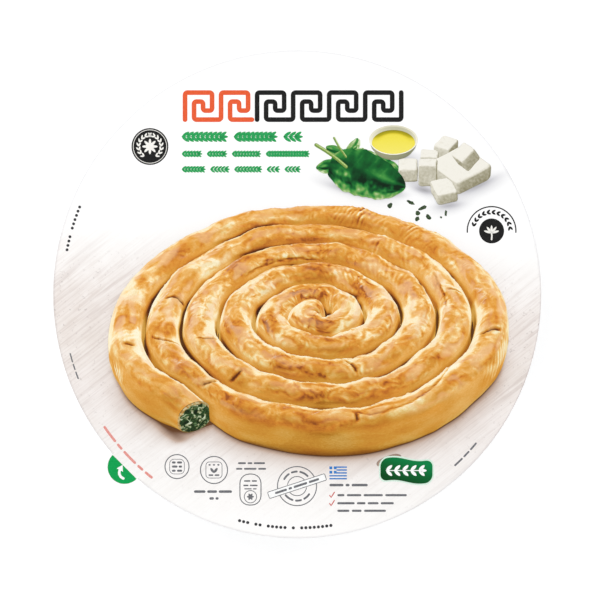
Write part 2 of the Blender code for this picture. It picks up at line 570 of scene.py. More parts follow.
def section_columns():
    """The section's angles, even along its outline over the top and few underneath, and the way across.

    The way across is the length along the outline from the crown.
    """
    fine = np.linspace(-2.0, 2.3, 2000)
    across, height = rope_section(fine, COIL_PITCH / 2, ROPE_HEIGHT)
    passed = np.concatenate(((0.0,), np.cumsum(np.hypot(np.diff(across), np.diff(height)))))
    steps = np.linspace(0, passed[-1], ROPE_TOP_COLUMNS)
    over = np.interp(steps, passed, fine)
    under = np.linspace(over[-1], over[0] + FULL_TURN, ROPE_FOOT_COLUMNS + 2)[1:-1]
    crown = np.interp(0.0, fine, passed)
    way = np.concatenate((steps - crown, np.full(ROPE_FOOT_COLUMNS, passed[-1] - crown)))
    return np.concatenate((over, under)), way


def horizon(angle, side):
    """How high, as an angle, the rope's own flank and the next rope stand over each column's point."""
    fine = np.linspace(-math.pi, math.pi, 1441)
    far_across, far_height = rope_section(fine, COIL_PITCH / 2, ROPE_HEIGHT)
    across, height = rope_section(angle, COIL_PITCH / 2, ROPE_HEIGHT)

    def look(shift, gap):
        away = (far_across[None] + shift - across[:, None]) * side
        rise = np.arctan2(far_height[None] - height[:, None], np.maximum(away, 1e-6))
        return np.where(away > gap, rise, -1.5).max(1)

    return look(0.0, 0.25), look(side * COIL_PITCH, 0.03)


# Cracks across the crust: degrees of turn, way across, half length, lean and bend along the rope, and half
# width.
CRACKS = (
    (32.4, -0.8, 3.8, 0.45, 0.03, 1.5),
    (242.0, 0.5, 6.5, -0.60, 0.04, 1.6),
    (308.0, 4.0, 3.5, 0.10, 0.04, 0.9),
    (361.5, 0.5, 7.5, 0.26, 0.04, 1.5),
    (389.6, -1.0, 8.5, 0.75, 0.05, 1.0),
    (418.4, -6.0, 7.5, -0.24, -0.03, 1.6),
    (576.0, 2.0, 5.0, 0.25, 0.04, 0.9),
    (716.0, 6.0, 6.0, 0.30, 0.05, 1.3),
    (744.0, -1.0, 6.0, 0.40, 0.05, 1.1),
    (1020.0, 2.0, 6.0, -0.30, 0.05, 1.1),
)
# Where the crust is browner or paler than around: degrees of turn, way across, half length and half width
# in millimetres, and how much.
BAKED_PATCHES = (
    (43.0, -1.0, 12.0, 8.0, 0.20),
    (50.0, -11.0, 9.0, 4.0, 0.15),
    (80.0, -8.0, 18.0, 6.0, 0.20),
    (57.0, -4.0, 10.0, 8.0, -0.25),
    (30.0, -4.0, 20.0, 6.0, -0.16),
    (27.0, 16.5, 9.0, 5.0, -0.34),
    (249.0, 15.0, 17.0, 5.5, -0.30),
    (181.0, -6.0, 28.0, 8.0, 0.16),
    (234.0, -3.0, 18.0, 7.0, 0.12),
    (271.0, 4.0, 9.0, 5.0, 0.18),
    (339.0, 6.0, 46.0, 5.0, 0.13),
    (377.0, -1.0, 18.0, 8.0, 0.14),
    (400.0, -3.0, 12.0, 6.0, 0.20),
    (443.0, -5.0, 12.0, 8.0, -0.24),
    (483.0, -9.0, 24.0, 5.0, 0.12),
    (520.0, -8.0, 18.0, 5.0, 0.15),
    (814.0, 0.0, 14.0, 8.0, 0.30),
    (774.0, -5.0, 16.0, 8.0, -0.20),
    (928.0, -2.0, 13.0, 7.0, 0.20),
    (963.0, 3.0, 14.0, 5.0, -0.20),
    (1115.0, 2.0, 9.0, 6.0, 0.14),
    (1152.0, -3.0, 16.0, 8.0, -0.22),
    (1207.0, -5.0, 8.0, 5.0, 0.25),
    (1272.0, -5.0, 13.0, 6.0, 0.22),
    (1462.0, 3.0, 8.0, 6.0, 0.18),
    (1556.0, -3.0, 18.0, 8.0, 0.20),
    (1584.0, -11.0, 8.0, 3.0, 0.12),
    (1669.0, 2.0, 9.0, 6.0, -0.20),
    (1769.0, 3.0, 9.0, 7.0, 0.12),
)
# Edges of filo leaves that run along the rope: points of degrees of turn and way across, then the height.
LEAF_EDGES = (
    (((262.0, -7.0), (270.0, -3.4), (278.0, 0.1), (288.0, 2.7), (296.0, 5.0), (303.0, 4.6), (311.0, 0.5)),
     1.0),
    (((806.0, -8.4), (824.0, -7.7), (843.0, -6.8), (862.0, -7.8)), 0.7),
    (((560.0, -2.0), (575.0, -4.5), (590.0, -5.0)), 0.5),
)
# Stretches where the gap before a back turn shows as a dark line: degrees of turn and half length.
BACK_GAPS = (
    (113.0, 34.0),
    (474.0, 32.0),
    (838.0, 12.0),
    (1262.0, 9.0),
    (1584.0, 10.0),
)
# Fans of folds over the crown: degrees of turn, half length, spacing, slant and height. All have one way
# across and half width.
CROWN_FANS = (
    (149.5, 10.0, 3.1, -0.50, 0.40),
    (154.6, 2.6, 3.6, -0.45, 0.75),
    (160.5, 9.0, 4.2, -0.60, 0.34),
    (174.5, 3.4, 3.6, -0.45, 0.70),
    (181.0, 9.0, 3.8, -0.60, 0.30),
    (197.0, 9.0, 4.2, -0.60, 0.22),
    (528.0, 2.6, 3.6, -0.50, 0.55),
    (38.0, 9.0, 4.2, 0.3, 0.16),
    (240.0, 12.0, 4.6, 0.5, 0.22),
    (540.0, 16.0, 5.0, 0.8, 0.28),
    (905.0, 20.0, 4.4, 0.8, 0.26),
    (1240.0, 16.0, 4.2, 0.9, 0.26),
    (1610.0, 12.0, 3.8, 0.7, 0.26),
)
CROWN_FAN_PLACE = (0.0, 10.5)
# Ruffles on the outer flank: the same five, then each one's way across and half width.
FLANK_FANS = (
    (27.0, 8.0, 3.9, 0.75, 0.60, 16.5, 5.0),
    (249.0, 17.0, 4.3, -0.70, 0.50, 15.0, 5.5),
)
# Noise on the crust, by what it does: layers of amount, hill length along and across the rope, and seed.
CRUST_NOISE = {
    "tears along": ((3.6, 12.8, 8.2, 81), (1.4, 4.7, 4.1, 82)),
    "tears across": ((2.2, 11.7, 7.0, 83), (0.9, 4.7, 4.1, 84)),
    "bends patches along": ((4.5, 11.0, 7.0, 71), (1.6, 4.0, 3.5, 72)),
    "bends patches across": ((2.6, 9.0, 6.0, 73), (1.0, 3.5, 3.0, 74)),
    "bends fans": ((1.5, 9.0, 7.0, 104),),
    "places folds": ((1.0, 47.0, 17.5, 35),),
    "places crimps": ((1.0, 23.0, 23.0, 57),),
    "flakes": ((1.0, 17.5, 5.3, 85),),
    "wrinkles": ((1.0, 2.6, 3.4, 97), (0.6, 4.2, 1.6, 98)),
    "grain": ((0.6, 5.0, 3.6, 99), (0.5, 2.4, 2.0, 100)),
    "creases": ((1.0, 6.5, 4.5, 101),),
    "places creases": ((1.0, 19.0, 9.0, 102),),
    "crumples": ((0.8, 33.0, 14.0, 103),),
    "moves rims": ((0.16, 11.0, 7.0, 91), (0.20, 46.0, 30.0, 92)),
    "blushes": ((1.0, 16.0, 5.5, 95),),
}
# What each part adds to the crust's relief, in millimetres: everywhere, and over the crown only.
RELIEF = {"swells": 0.65, "crimps": 0.10, "steps": 0.6, "crack": -0.9, "lip": 0.4, "fans": 0.55}
CROWN_RELIEF = {"folds": 0.50, "blisters": 0.30, "flakes": 0.20, "wrinkles": 0.13}
CRUMPLED_RELIEF = {"grain": 0.30, "creases": -0.22}
# What each part adds to its browning, on the scale of the crust's tones.
BROWNING = {"fans": -0.55, "folds": -0.08, "steps": -0.20, "crack": 0.70, "lip": -0.20}
# A crack's waver, as in the noise table, the fading of its ends, and its lips' distance and width.
CRACK_WAVER = (0.5, 2.2, 70)
CRACK_FADE = 2.5
LIP_DISTANCE = 1.7
LIP_WIDTH = 0.9
# A filo leaf's edge: its waver, the share of its length over which it fades at both ends, its two slopes, and
# the line under it.
EDGE_WAVER = (0.5, 6.0, 76)
EDGE_FADE = 0.15
EDGE_SLOPES = (0.5, 3.0)
EDGE_LINE = (0.9, 0.6)


def crust_noise(name, length, across):
    """One of the crust's noises: the sum of its layers."""
    return sum(amount * noise(length / along, across / over, seed)
               for amount, along, over, seed in CRUST_NOISE[name])


def weighed(parts, weights):
    """The sum of the parts that the weights name."""
    return sum(weight * parts[name] for name, weight in weights.items())


def along_rope(degrees, turn, length):
    """The length along the rope at so many degrees of turn."""
    return np.interp(np.radians(degrees), turn, length)


def crack_lines(length, across, turn, spine_length):
    """The cracks, as narrow bell curves along a bent line, and the lips that curl up beside them."""
    crack = np.zeros_like(length)
    lip = np.zeros_like(length)
    waver, waver_length, seed = CRACK_WAVER
    for degrees, middle, half, lean, bend, width in CRACKS:
        off = across - middle
        offset = length - along_rope(degrees, turn, spine_length) - lean * off - bend * off**2
        offset = offset + waver * noise(off / waver_length, degrees, seed)
        reach = smooth(half, half - CRACK_FADE, np.abs(off))
        crack = np.maximum(crack, bell(offset, width) * reach)
        lip = np.maximum(lip, bell(np.abs(offset) - LIP_DISTANCE, LIP_WIDTH) * reach)
    return crack, lip


def baked_patches(length, across, turn, spine_length):
    """The placed differences in browning: each fades at a torn edge, which noise bends."""
    bent_length = length + crust_noise("bends patches along", length, across)
    bent_across = across + crust_noise("bends patches across", length, across)
    total = np.zeros_like(length)
    for degrees, way, half_length, half_width, amount in BAKED_PATCHES:
        off = (bent_length - along_rope(degrees, turn, spine_length)) / half_length
        total = total + amount * smooth(1.2, 0.55, np.hypot(off, (bent_across - way) / half_width))
    return total


def leaf_edges(length, across, turn, spine_length):
    """The filo leaves' long edges: steps that rise sharply and fade slowly outwards, a line under each."""
    step = np.zeros_like(length)
    line = np.zeros_like(length)
    waver, waver_length, seed = EDGE_WAVER
    below, width = EDGE_LINE
    for points, height in LEAF_EDGES:
        degrees, ways = np.array(points).T
        places = along_rope(degrees, turn, spine_length)
        way = np.interp(length, places, ways) + waver * noise(length / waver_length, degrees[0], seed)
        share = (length - places[0]) / (places[-1] - places[0])
        reach = smooth(0.0, EDGE_FADE, share) * smooth(1.0, 1.0 - EDGE_FADE, share)
        off = across - way
        step = step + height * reach * bell(off, np.where(off < 0, *EDGE_SLOPES))
        line = line + reach * bell(off + below, width)
    return step, line


def fold_fans(length, across, turn, spine_length):
    """Fans of slanting folds in the filo: waves that fade along the rope and across it from the fan's middle.

    Noise bends the folds and makes some higher than others.
    """
    folds = np.zeros_like(length)
    bent = crust_noise("bends fans", length, across)
    fans = [(*fan, *CROWN_FAN_PLACE) for fan in CROWN_FANS] + list(FLANK_FANS)
    for degrees, half, spacing, slant, height, middle, half_width in fans:
        off = length - along_rope(degrees, turn, spine_length)
        waves = np.sin((off + slant * across + bent) * FULL_TURN / spacing)
        reach = np.exp(-((off / half) ** 4)) * smooth(1.4, 0.5, np.abs(across - middle) / half_width)
        folds = folds + height * waves * reach * (0.6 + noise(length / 7.0, across / 6.0 + degrees, 105))
    return folds


def crust(length, across, turn, spine_length):
    """The baked crust over the rope as fields: its relief in millimetres, browning, blush, edges and cracks.

    length and across are millimetres along and over the rope. Over the crown slow swells, soft folds, torn
    flakes and fine wrinkles add up, and the flanks stay smooth. The crust is more crumpled towards the rope's
    inner end.
    """
    torn = length + crust_noise("tears along", length, across)
    over = across + crust_noise("tears across", length, across)
    crown = smooth(11.0, 7.5, np.abs(across))
    folds = np.clip(1 - np.abs(noise((length + 1.2 * across) / 35.0, over / 5.5, 31)) * 3.4, 0, 1) ** 1.3
    crimps = noise(length / 2.6 + 0.27 * across, across / 8.8, 51) * smooth(4.0, 7.5, np.abs(across))
    creases = np.clip(1 - 5.0 * np.abs(crust_noise("creases", torn, over)), 0, 1) ** 1.5
    crumpled = crown * (0.5 + 1.0 * length / spine_length[-1]) * (1 + crust_noise("crumples", length, across))
    crack, lip = crack_lines(length, across, turn, spine_length)
    steps, line = leaf_edges(length, across, turn, spine_length)
    parts = {
        "swells": fractal(length / 26.0, across / 9.0, 21, 2),
        "folds": folds * smooth(-0.1, 0.35, crust_noise("places folds", length, across)),
        "blisters": fractal(torn / 7.5, over / 5.3, 41),
        "crimps": crimps * smooth(0.05, 0.5, crust_noise("places crimps", length, across)),
        "flakes": smooth(-0.04, 0.04, crust_noise("flakes", torn, over) - 0.1),
        "wrinkles": crust_noise("wrinkles", torn, over),
        "grain": crust_noise("grain", torn, over),
        "creases": creases * smooth(-0.1, 0.2, crust_noise("places creases", length, across)),
        "steps": steps,
        "crack": np.maximum(crack, 0.7 * line),
        "lip": lip,
        "fans": fold_fans(length, across, turn, spine_length),
        "broad": fractal(length / 30.0, across / 11.0, 61, 2),
        "streaks": 0.7 * fractal(torn / 19.0, over / 4.2, 65) + 0.5 * noise(torn / 6.5, over / 2.6, 68),
        "patches": baked_patches(length, across, turn, spine_length),
        "blush": smooth(0.0, 0.40, crust_noise("blushes", torn, over)),
        "crown": crown,
    }
    grain = parts["grain"]
    parts["relief"] = weighed(parts, RELIEF) + crown * weighed(parts, CROWN_RELIEF)
    parts["relief"] = parts["relief"] + crumpled * weighed(parts, CRUMPLED_RELIEF)
    rim_drift = crust_noise("moves rims", length, across)
    parts["rim_drift"] = rim_drift + 0.05 * parts["blisters"] + 0.12 * crumpled * grain
    parts["crumbs"] = crumpled * (0.36 * grain + 0.20 * parts["creases"])
    return parts


def coil_light(normals):
    """The light on the printed coil: from behind, the left and the right, and little on its front."""
    light = 0.15 + 0.07 * normals[..., 2]
    for heading, strength in COIL_LAMPS:
        light = light + strength * np.clip(normals @ heading, 0, 1)
    return light


def rope_grid(turn, radius, across, height):
    """Points of the coil: the section's across and height, stood on the spiral, which turns clockwise.

    The outer end is cut on the slant, so its rows shear more and more towards it.
    """
    shear = math.tan(END_SLANT) * smooth(END_LENGTH, 0.0, turn * COIL_RADIUS)[:, None] * across
    bearing = (COIL_START - turn)[:, None]
    reach = radius[:, None] + across
    x = reach * np.cos(bearing) + shear * np.sin(bearing)
    y = reach * np.sin(bearing) - shear * np.cos(bearing)
    return np.stack((x, y, height), -1)


def rope_form():
    """The rope before its crust: a row of values at each step along it, by name.

    Its way, width and height wander slowly. It swells at the heart and closes there as a dome, and its outer
    end is lower and rounder.
    """
    length, turn, radius = coil_spine(ROPE_ROWS)
    left = length[-1] - length
    around = COIL_START - turn
    wander = 1.6 * noise(1.9 * np.cos(around) + 7.0, 1.9 * np.sin(around), 5)
    wander = wander + 0.25 * noise(length / 15.2, 1.3, 6)
    half_width = 0.985 + 0.030 * noise(length / 26.0, 7.7, 7) + 0.018 * noise(length / 9.5, 0.2, 8)
    half_width = half_width * (1 + HEART_SWELL * smooth(30.0, 12.0, left))
    height = 1 + 0.06 * noise(length / 38.5, 0.7, 9) + 0.05 * noise(length / 14.0, 0.7, 10)
    dome = np.sqrt(np.clip(1 - (1 - np.clip(left / DOME_LENGTH, 0, 1)) ** 2, 0.0004, 1))
    ending = smooth(END_LENGTH, 0, length)
    half_width = half_width * COIL_PITCH / 2 * dome * (1 - 0.06 * ending) - END_DENT * beside_end(turn)
    height = height * ROPE_HEIGHT * (0.5 + 0.5 * dome) + COIL_DOME * turn / FULL_TURN
    return {
        "length": length,
        "turn": turn,
        "left": left,
        "around": around,
        "radius": radius + wander * smooth(0, 35, left) - HEART_TUCK * smooth(18.0, 2.0, left),
        "half_width": half_width,
        "height": height * (1 - (1 - END_HEIGHT / ROPE_HEIGHT) * ending),
        "sharpness": (ROPE_SHARPNESS - (ROPE_SHARPNESS - END_SHARPNESS) * ending)[:, None],
        "foot_sharpness": (ROPE_FOOT_SHARPNESS - (ROPE_FOOT_SHARPNESS - END_SHARPNESS) * ending)[:, None],
    }


def open_sky(angle, second):
    """The share of the sky that each point sees between its own rope and the next ones.

    second is 1 where there is a turn outside this one.
    """
    own_out, next_out = horizon(angle, 1)
    own_in, next_in = horizon(angle, -1)
    out = np.maximum(np.maximum(own_out, next_out * second - 1.5 * (1 - second)), 0.0)
    inner = np.broadcast_to(np.maximum(np.maximum(own_in, next_in), 0.0), out.shape)
    return np.clip(1 - (out + inner) / math.pi, 0, 1)


def groove_light(rope, way, closing, second, up):
    """How much light the grooves between the turns keep: dark at the foot, and in gaps before back turns.

    A gap shows on stretches of the rope that lie further under the next turn's crown than can be seen.
    """
    length, turn = rope["length"], rope["turn"]
    depth = 0.80 + 0.5 * noise(length / 27.0, 4.4, 93)[:, None]
    beside = np.where(way > 0, second, 1.0)
    groove = 1 - np.clip(depth, 0.45, 0.95) * beside * smooth(0.84, 0.95, closing)
    stretches = [smooth(1.0, 0.4, np.abs(length - along_rope(degrees, turn, length)) / half)
                 for degrees, half in BACK_GAPS]
    next_height = np.interp(turn + FULL_TURN, turn, rope["height"])[:, None]
    hidden = smooth(*GAP_DROP, up - next_height) * (way < 0) * np.max(stretches, axis=0)[:, None]
    return groove * (1 - GAP_DARKNESS * hidden)


def coil():
    """The coil of rope, and the fields printed on it.

    The relief of the crust moves each point along the section's normal. The light comes from behind, above
    and both sides: surfaces that face the front get little of it, and only the bottom of a groove is dark.
    The crust is paler on the rims that the picture's camera sees at a grazing angle.
    """
    rope = rope_form()
    length, turn, half_width = rope["length"], rope["turn"], rope["half_width"][:, None]
    angle, way = section_columns()
    length_grid, way_grid = np.meshgrid(length, way, indexing="ij")
    skin = crust(length_grid, way_grid, turn, length)
    across, up = rope_section(angle[None], half_width, rope["height"][:, None], rope["sharpness"],
                              rope["foot_sharpness"])
    plain = rope_grid(turn, rope["radius"], across, up)
    outward = grid_normals(plain)
    closing = np.abs(across) / half_width
    hold = smooth(0, 4.7, rope["left"])[:, None] * smooth(0.6, 4.1, up)
    hold = hold * (1 - 0.8 * smooth(0.75, 0.95, closing))
    grid = plain + outward * (hold * skin["relief"])[..., None]
    normals = grid_normals(grid)

    second = smooth(FULL_TURN - 0.12, FULL_TURN, turn)[:, None]
    sky = open_sky(angle, second)
    calm = coil_light(outward)
    light = calm + np.clip(0.55 * (normals - outward) @ COIL_RELIEF_LIGHT, -0.09, 0.25)
    light = light + 0.09 * smooth(-70.0, 80.0, plain[..., 1])
    light = light * (0.13 + 0.87 * np.clip(up / 10.0, 0, 1) ** 0.7)
    groove = groove_light(rope, way_grid, closing, second, up)

    shade = smooth(0.42, 0.26, calm)
    graze = 1 - np.clip(outward @ PICTURE_TOWARDS, 0, 1)
    rim = graze + 0.45 * outward[..., 1] - 0.08 * np.clip(outward[..., 0], 0, 1) + skin["rim_drift"]
    rim = smooth(0.44, 0.86, rim) * smooth(-0.50, -0.15, outward[..., 1])
    shoulder = bell(np.abs(way_grid) - 9.5, 3.0) * shade
    sideways = np.abs(np.cos(rope["around"]))[:, None]
    behind = np.clip(np.sin(rope["around"]), 0, 1)[:, None]
    fading = 1 - behind * (0.40 + 0.55 * smooth(-0.25, 0.30, noise(length / 17.0, 5.5, 94))[:, None])
    fading = fading * (1 - 0.7 * behind * smooth(0.75, 1.0, graze))
    paler = (0.28 + 0.26 * sideways) * rim * (1 + 1.1 * skin["rim_drift"]) * fading

    browning = 0.52 - 0.10 * sideways + 0.20 * skin["broad"]
    browning = browning + skin["crown"] * (0.28 * skin["streaks"] - 0.06 * skin["flakes"])
    browning = np.maximum(browning + skin["patches"] + skin["crumbs"] - paler, 0.06)
    browning = browning + 0.16 * shoulder + 0.5 * (1 - groove) + weighed(skin, BROWNING)
    gleam = np.clip(normals @ GLEAM, 0, 1) ** 26 * smooth(0.2, 0.6, sky) * smooth(0.1, 0.5, skin["broad"])
    fields = {
        "light": (light + 0.15 * rim * fading) * groove * (1 - 0.85 * skin["crack"]),
        "browning": browning,
        "blush": BLUSH_SHARE * skin["blush"] * skin["crown"] * (1 - shade) * (0.35 + 0.65 * sideways),
        "gleam": GLEAM_SHARE * gleam,
        "rope": np.stack((length_grid, way_grid, np.zeros_like(way_grid)), -1),
    }
    return grid, fields


# The rope's cut end: its size as shares of the rope's section, and its bulge and lumps in millimetres.
FACE_RINGS = 46
FACE_COLUMNS = 120
FACE_SHARES = (0.93, 0.98)
FACE_BULGE = (0.25, 2.2)
FACE_LUMPS = 0.55
FACE_LUMP_LENGTH = 2.6
# The face's back lies this far behind the cut, in rings at these shares of its size.
FACE_BACK = -0.4
FACE_BACK_SHARES = (0.02, 0.5, 0.98)


def filling_face():
    """The cut end of the rope: the section drawn in towards its middle, bulging, with a crumbly filling.

    The rim is the ends of the filo leaves, and inside it the filling stands proud in lumps.
    """
    _, _, radius = coil_spine(2)
    angle = np.linspace(0, FULL_TURN, FACE_COLUMNS, endpoint=False)
    half_width, height = COIL_PITCH / 2 * FACE_SHARES[0], END_HEIGHT * FACE_SHARES[1]
    across, up = rope_section(angle, half_width, height, END_SHARPNESS, END_SHARPNESS)
    front_share = np.linspace(1.0, 0.0, FACE_RINGS, endpoint=False)
    share = np.concatenate((front_share, FACE_BACK_SHARES))[:, None]
    front = np.arange(len(share))[:, None] < FACE_RINGS
    across = share * across
    up = height / 2 + share * (up - height / 2)
    lumps = FACE_LUMPS * fractal(across / FACE_LUMP_LENGTH + 5.0, up / FACE_LUMP_LENGTH, 71)
    lumps = lumps * smooth(0.92, 0.75, share)
    bulge = FACE_BULGE[0] + FACE_BULGE[1] * np.sqrt(np.clip(1 - share**2, 0, 1)) + lumps
    outward = np.array((math.cos(COIL_START), math.sin(COIL_START), 0.0))
    along = np.array((-math.sin(COIL_START), math.cos(COIL_START), 0.0))
    slanted = outward - math.tan(END_SLANT) * along
    onward = unit(along + math.tan(END_SLANT) * outward)
    stand = np.where(front, bulge, FACE_BACK)
    grid = outward * radius[0] + slanted * across[..., None] + onward * stand[..., None]
    grid[..., 2] = up + 0.3
    light = picture_light(grid_normals(grid) * 0.4 + onward * 0.6, 0.9) + 0.35 * lumps
    fields = {
        "light": light * (0.55 + 0.45 * smooth(0.0, 5.0, up)),
        "rim": smooth(0.88, 0.95, share + 0.05 * fractal(across / 3.0, up / 3.0, 72)),
        "face": np.stack((across, up, 0 * up), -1),
    }
    return grid, fields


# ------------------------------------------------------------------ the small pictures


# A block's roundness and the size of its crumbs.
BLOCK_SQUARENESS = 0.20
CRUMB_HEIGHT = 0.34
CRUMB_LENGTH = 2.9
# A leaf's rows, its columns on one face, the greatest value of its width law, and half its thickness.
LEAF_ROWS = 100
LEAF_COLUMNS = 40
LEAF_BREADTH = 0.503
LEAF_HALF_THICKNESS = 0.12
# Light streaks on a leaf: how strong, the way across and along, and their widths there.
LEAF_STREAKS = (
    (1.0, 0.24, 0.72, 0.22, 0.24),
    (0.6, 0.10, 0.16, 0.20, 0.13),
)


def cheese_block(size, turn, place, seed, lean=0.0):
    """A cut block of white cheese: a superellipsoid close to a box, with a crumbly face.

    size is width, depth and height. turn and lean are degrees, and place is the middle of its underside.
    """
    climb = np.radians(np.linspace(-88, 88, 30))[:, None]
    around = np.radians(np.linspace(0, 360, 60, endpoint=False))[None]

    def squared(value):
        return np.sign(value) * np.abs(value) ** BLOCK_SQUARENESS

    x = size[0] / 2 * squared(np.cos(climb)) * squared(np.cos(around))
    y = size[1] / 2 * squared(np.cos(climb)) * squared(np.sin(around))
    z = size[2] / 2 * squared(np.sin(climb)) + 0 * around
    crumbs = fractal((x + 0.7 * z) / CRUMB_LENGTH + seed, (y - 0.6 * z) / CRUMB_LENGTH, seed)
    crumbs = CRUMB_HEIGHT * crumbs
    solid = np.stack((x, y, z), -1)
    solid = solid * (1 + crumbs[..., None] / np.linalg.norm(solid, axis=-1, keepdims=True))
    tip = math.radians(lean)
    tilted = np.stack((
        solid[..., 0] * math.cos(tip) - solid[..., 2] * math.sin(tip),
        solid[..., 1],
        solid[..., 0] * math.sin(tip) + solid[..., 2] * math.cos(tip) + size[2] / 2,
    ), -1)
    flat = turned(tilted[..., :2].reshape(-1, 2), math.radians(turn)).reshape(tilted.shape[:2] + (2,))
    grid = np.concatenate((flat, tilted[..., 2:]), -1) + np.array(place)
    normals = grid_normals(grid)
    sky = (0.72 + 0.28 * normals[..., 2]) * (0.72 + 0.28 * smooth(0.0, 5.0, grid[..., 2]))
    return grid, {"light": picture_light(normals, sky) + 0.12 * crumbs}


def leaf_tone(normals, along, across, way, pale, seed):
    """The tone printed on a leaf: light, shine, paleness, streaks, a darker valley, veins and a pale rim."""
    light = picture_light(normals, 0.75 + 0.25 * normals[..., 2])
    shine = np.clip(normals @ GLEAM, 0, 1) ** 10
    mottle = noise(way / 4.6, across * 2.6 + seed, seed + 4)
    mottle = mottle + 0.6 * noise(way / 2.1, across * 5.0 + seed, seed + 5)
    rim = smooth(0.02, 0.80, -across + 0.22 * mottle) * smooth(0.02, 0.15, along) * (0.78 + 0.34 * mottle)
    streak = sum(strength * bell(across - aside, width) * bell(along - place, length)
                 for strength, aside, place, width, length in LEAF_STREAKS)
    valley = bell(across + 0.12, 0.20) * smooth(0.2, 0.4, along)
    veins = np.clip(1 - 9 * np.abs((along * 5.5 - 0.8 * np.abs(across)) % 1 - 0.5), 0, 1)
    veins = veins * smooth(0.05, 0.3, np.abs(across))
    tone = 0.95 * (light - 0.46) + 0.20 * shine + 0.58 * rim + pale * (0.8 + 0.5 * mottle)
    tone = tone + (0.50 * streak - 0.16 * valley + 0.07 * veins) * (1 - pale)
    return np.maximum(tone + 0.05 * mottle + 0.22 * smooth(0.86, 0.97, -across), 0.02)


def leaf_sheet(stem, tip, rise, width, bulge, pale, seed):
    """A leaf from its stem's end to its tip, held up towards the camera: a thin sheet, both faces alike.

    rise is the way from its near edge to its far one. The half width is the way along to the power 0.45
    times the rest of the way to the power 0.6, with a ripple. The blade bulges towards the camera with one
    less the square of the way across, a furrow runs down its middle, and its near edge curls forward.
    """
    stem, tip = np.array(stem, float), np.array(tip, float)
    along = np.linspace(0.0, 0.998, LEAF_ROWS)[:, None]
    half_turn = np.linspace(-1, 1, LEAF_COLUMNS)
    side = np.concatenate((half_turn, half_turn[::-1]))[None]
    face = np.sign(np.arange(2 * LEAF_COLUMNS)[None] - LEAF_COLUMNS + 0.5)
    length = np.linalg.norm(tip - stem)
    heading = (tip - stem) / length
    towards = unit(np.cross(heading, rise))
    towards = towards * np.sign(towards @ PICTURE_TOWARDS)
    aside = np.cross(towards, heading) * np.sign(np.cross(towards, heading) @ np.asarray(rise))
    way = along * length
    ripple = 1.0 + 0.09 * noise(way / 4.2, 0.4 * side + seed, seed)
    out = width / 2 * (along + 0.04) ** 0.45 * (1 - along) ** 0.6 / LEAF_BREADTH * side * ripple
    folds = 0.8 * noise(way / 13.0, out / 7.0 + seed, seed + 1)
    folds = folds + 0.25 * noise(way / 4.5, out / 4.0 + seed, seed + 2)
    furrow = bell(out, 0.13 * width)
    curl = np.clip(-side - 0.62, 0, 1) * (1 + 0.35 * noise(way / 5.0, seed, seed + 3))
    height = bulge * (1 - side**2) + folds - 0.05 * width * furrow + 0.26 * width * curl
    height = height * smooth(0.0, 0.12, 1 - along) - LEAF_HALF_THICKNESS * face
    sheet = stem + heading * way[..., None] + aside * out[..., None] + towards * height[..., None]

    top = sheet[:, :LEAF_COLUMNS]
    normals = unit_rows(np.cross(np.gradient(top, axis=1), np.gradient(top, axis=0)) + 1e-9 * towards)
    normals = normals * np.sign(normals @ towards)[..., None]
    tone = leaf_tone(normals, along, side[:, :LEAF_COLUMNS], way, pale, seed)
    return sheet, {"tone": np.concatenate((tone, tone[:, ::-1]), 1)}


def turned_dish(profile, columns=96):
    """A surface of revolution from (radius, height) points."""
    angle = np.linspace(0, FULL_TURN, columns, endpoint=False)
    radius, height = (np.array(part, float)[:, None] for part in zip(*profile))
    return np.stack((radius * np.cos(angle), radius * np.sin(angle), height + 0 * angle), -1)


# ------------------------------------------------------------------ materials


def linear(hex_code):
    """An sRGB hex colour as linear red, green, blue and alpha."""
    parts = [int(hex_code[k : k + 2], 16) / 255 for k in (1, 3, 5)]
    return (*(c / 12.92 if c <= 0.04045 else ((c + 0.055) / 1.055) ** 2.4 for c in parts), 1.0)


def add_node(tree, kind, settings=None, values=None, links=None, stops=None, out=0):
    """Adds a node: its settings, its inputs' values, links into its inputs, and a colour ramp's stops.

    It gives back one of the node's outputs, the first unless told otherwise.
    """
    node = tree.nodes.new(kind)
    for key, value in (settings or {}).items():
        setattr(node, key, value)
    for key, value in (values or {}).items():
        node.inputs[key].default_value = value
    for key, source in (links or {}).items():
        tree.links.new(source, node.inputs[key])
    for place, (position, hex_code) in enumerate(stops or ()):
        ramp = node.color_ramp.elements
        element = ramp[place] if place < 2 else ramp.new(position)
        element.position = position
        element.color = linear(hex_code)
    return node.outputs[out]


# A colour Mix node's two colours and its result, by their places among its sockets.
MIX_A, MIX_B, MIX_RESULT = 6, 7, 2
COLOUR_MIX = {"data_type": "RGBA", "blend_type": "MIX"}
COLOUR_MULTIPLY = {"data_type": "RGBA", "blend_type": "MULTIPLY"}
WHOLLY = {"Factor": 1.0}
# Roughness, gloss and refractive index of the varnish that lies over sheet and ink alike.
VARNISH_ROUGHNESS = 0.42
VARNISH_GLOSS = 0.20
VARNISH_IOR = 1.5
# The specks of an inked surface are finer than this on the real thing: drawn just as coarse as shows.
INK_GRAIN = 0.9


def start_material(name, roughness=VARNISH_ROUGHNESS, metallic=0.0, specular=VARNISH_GLOSS):
    """A Principled material, varnished unless told otherwise, with its node tree and its shader."""
    material = bpy.data.materials.new(name)
    material.use_nodes = True
    tree = material.node_tree
    shader = tree.nodes["Principled BSDF"]
    shader.inputs["Roughness"].default_value = roughness
    shader.inputs["Metallic"].default_value = metallic
    if not metallic:
        shader.inputs["IOR"].default_value = VARNISH_IOR
        shader.inputs["Specular IOR Level"].default_value = specular
    return material, tree, shader


def per_metre(millimetres):
    """The scale of a pattern on Object coordinates whose features are this many millimetres apart."""
    return 1000.0 / millimetres


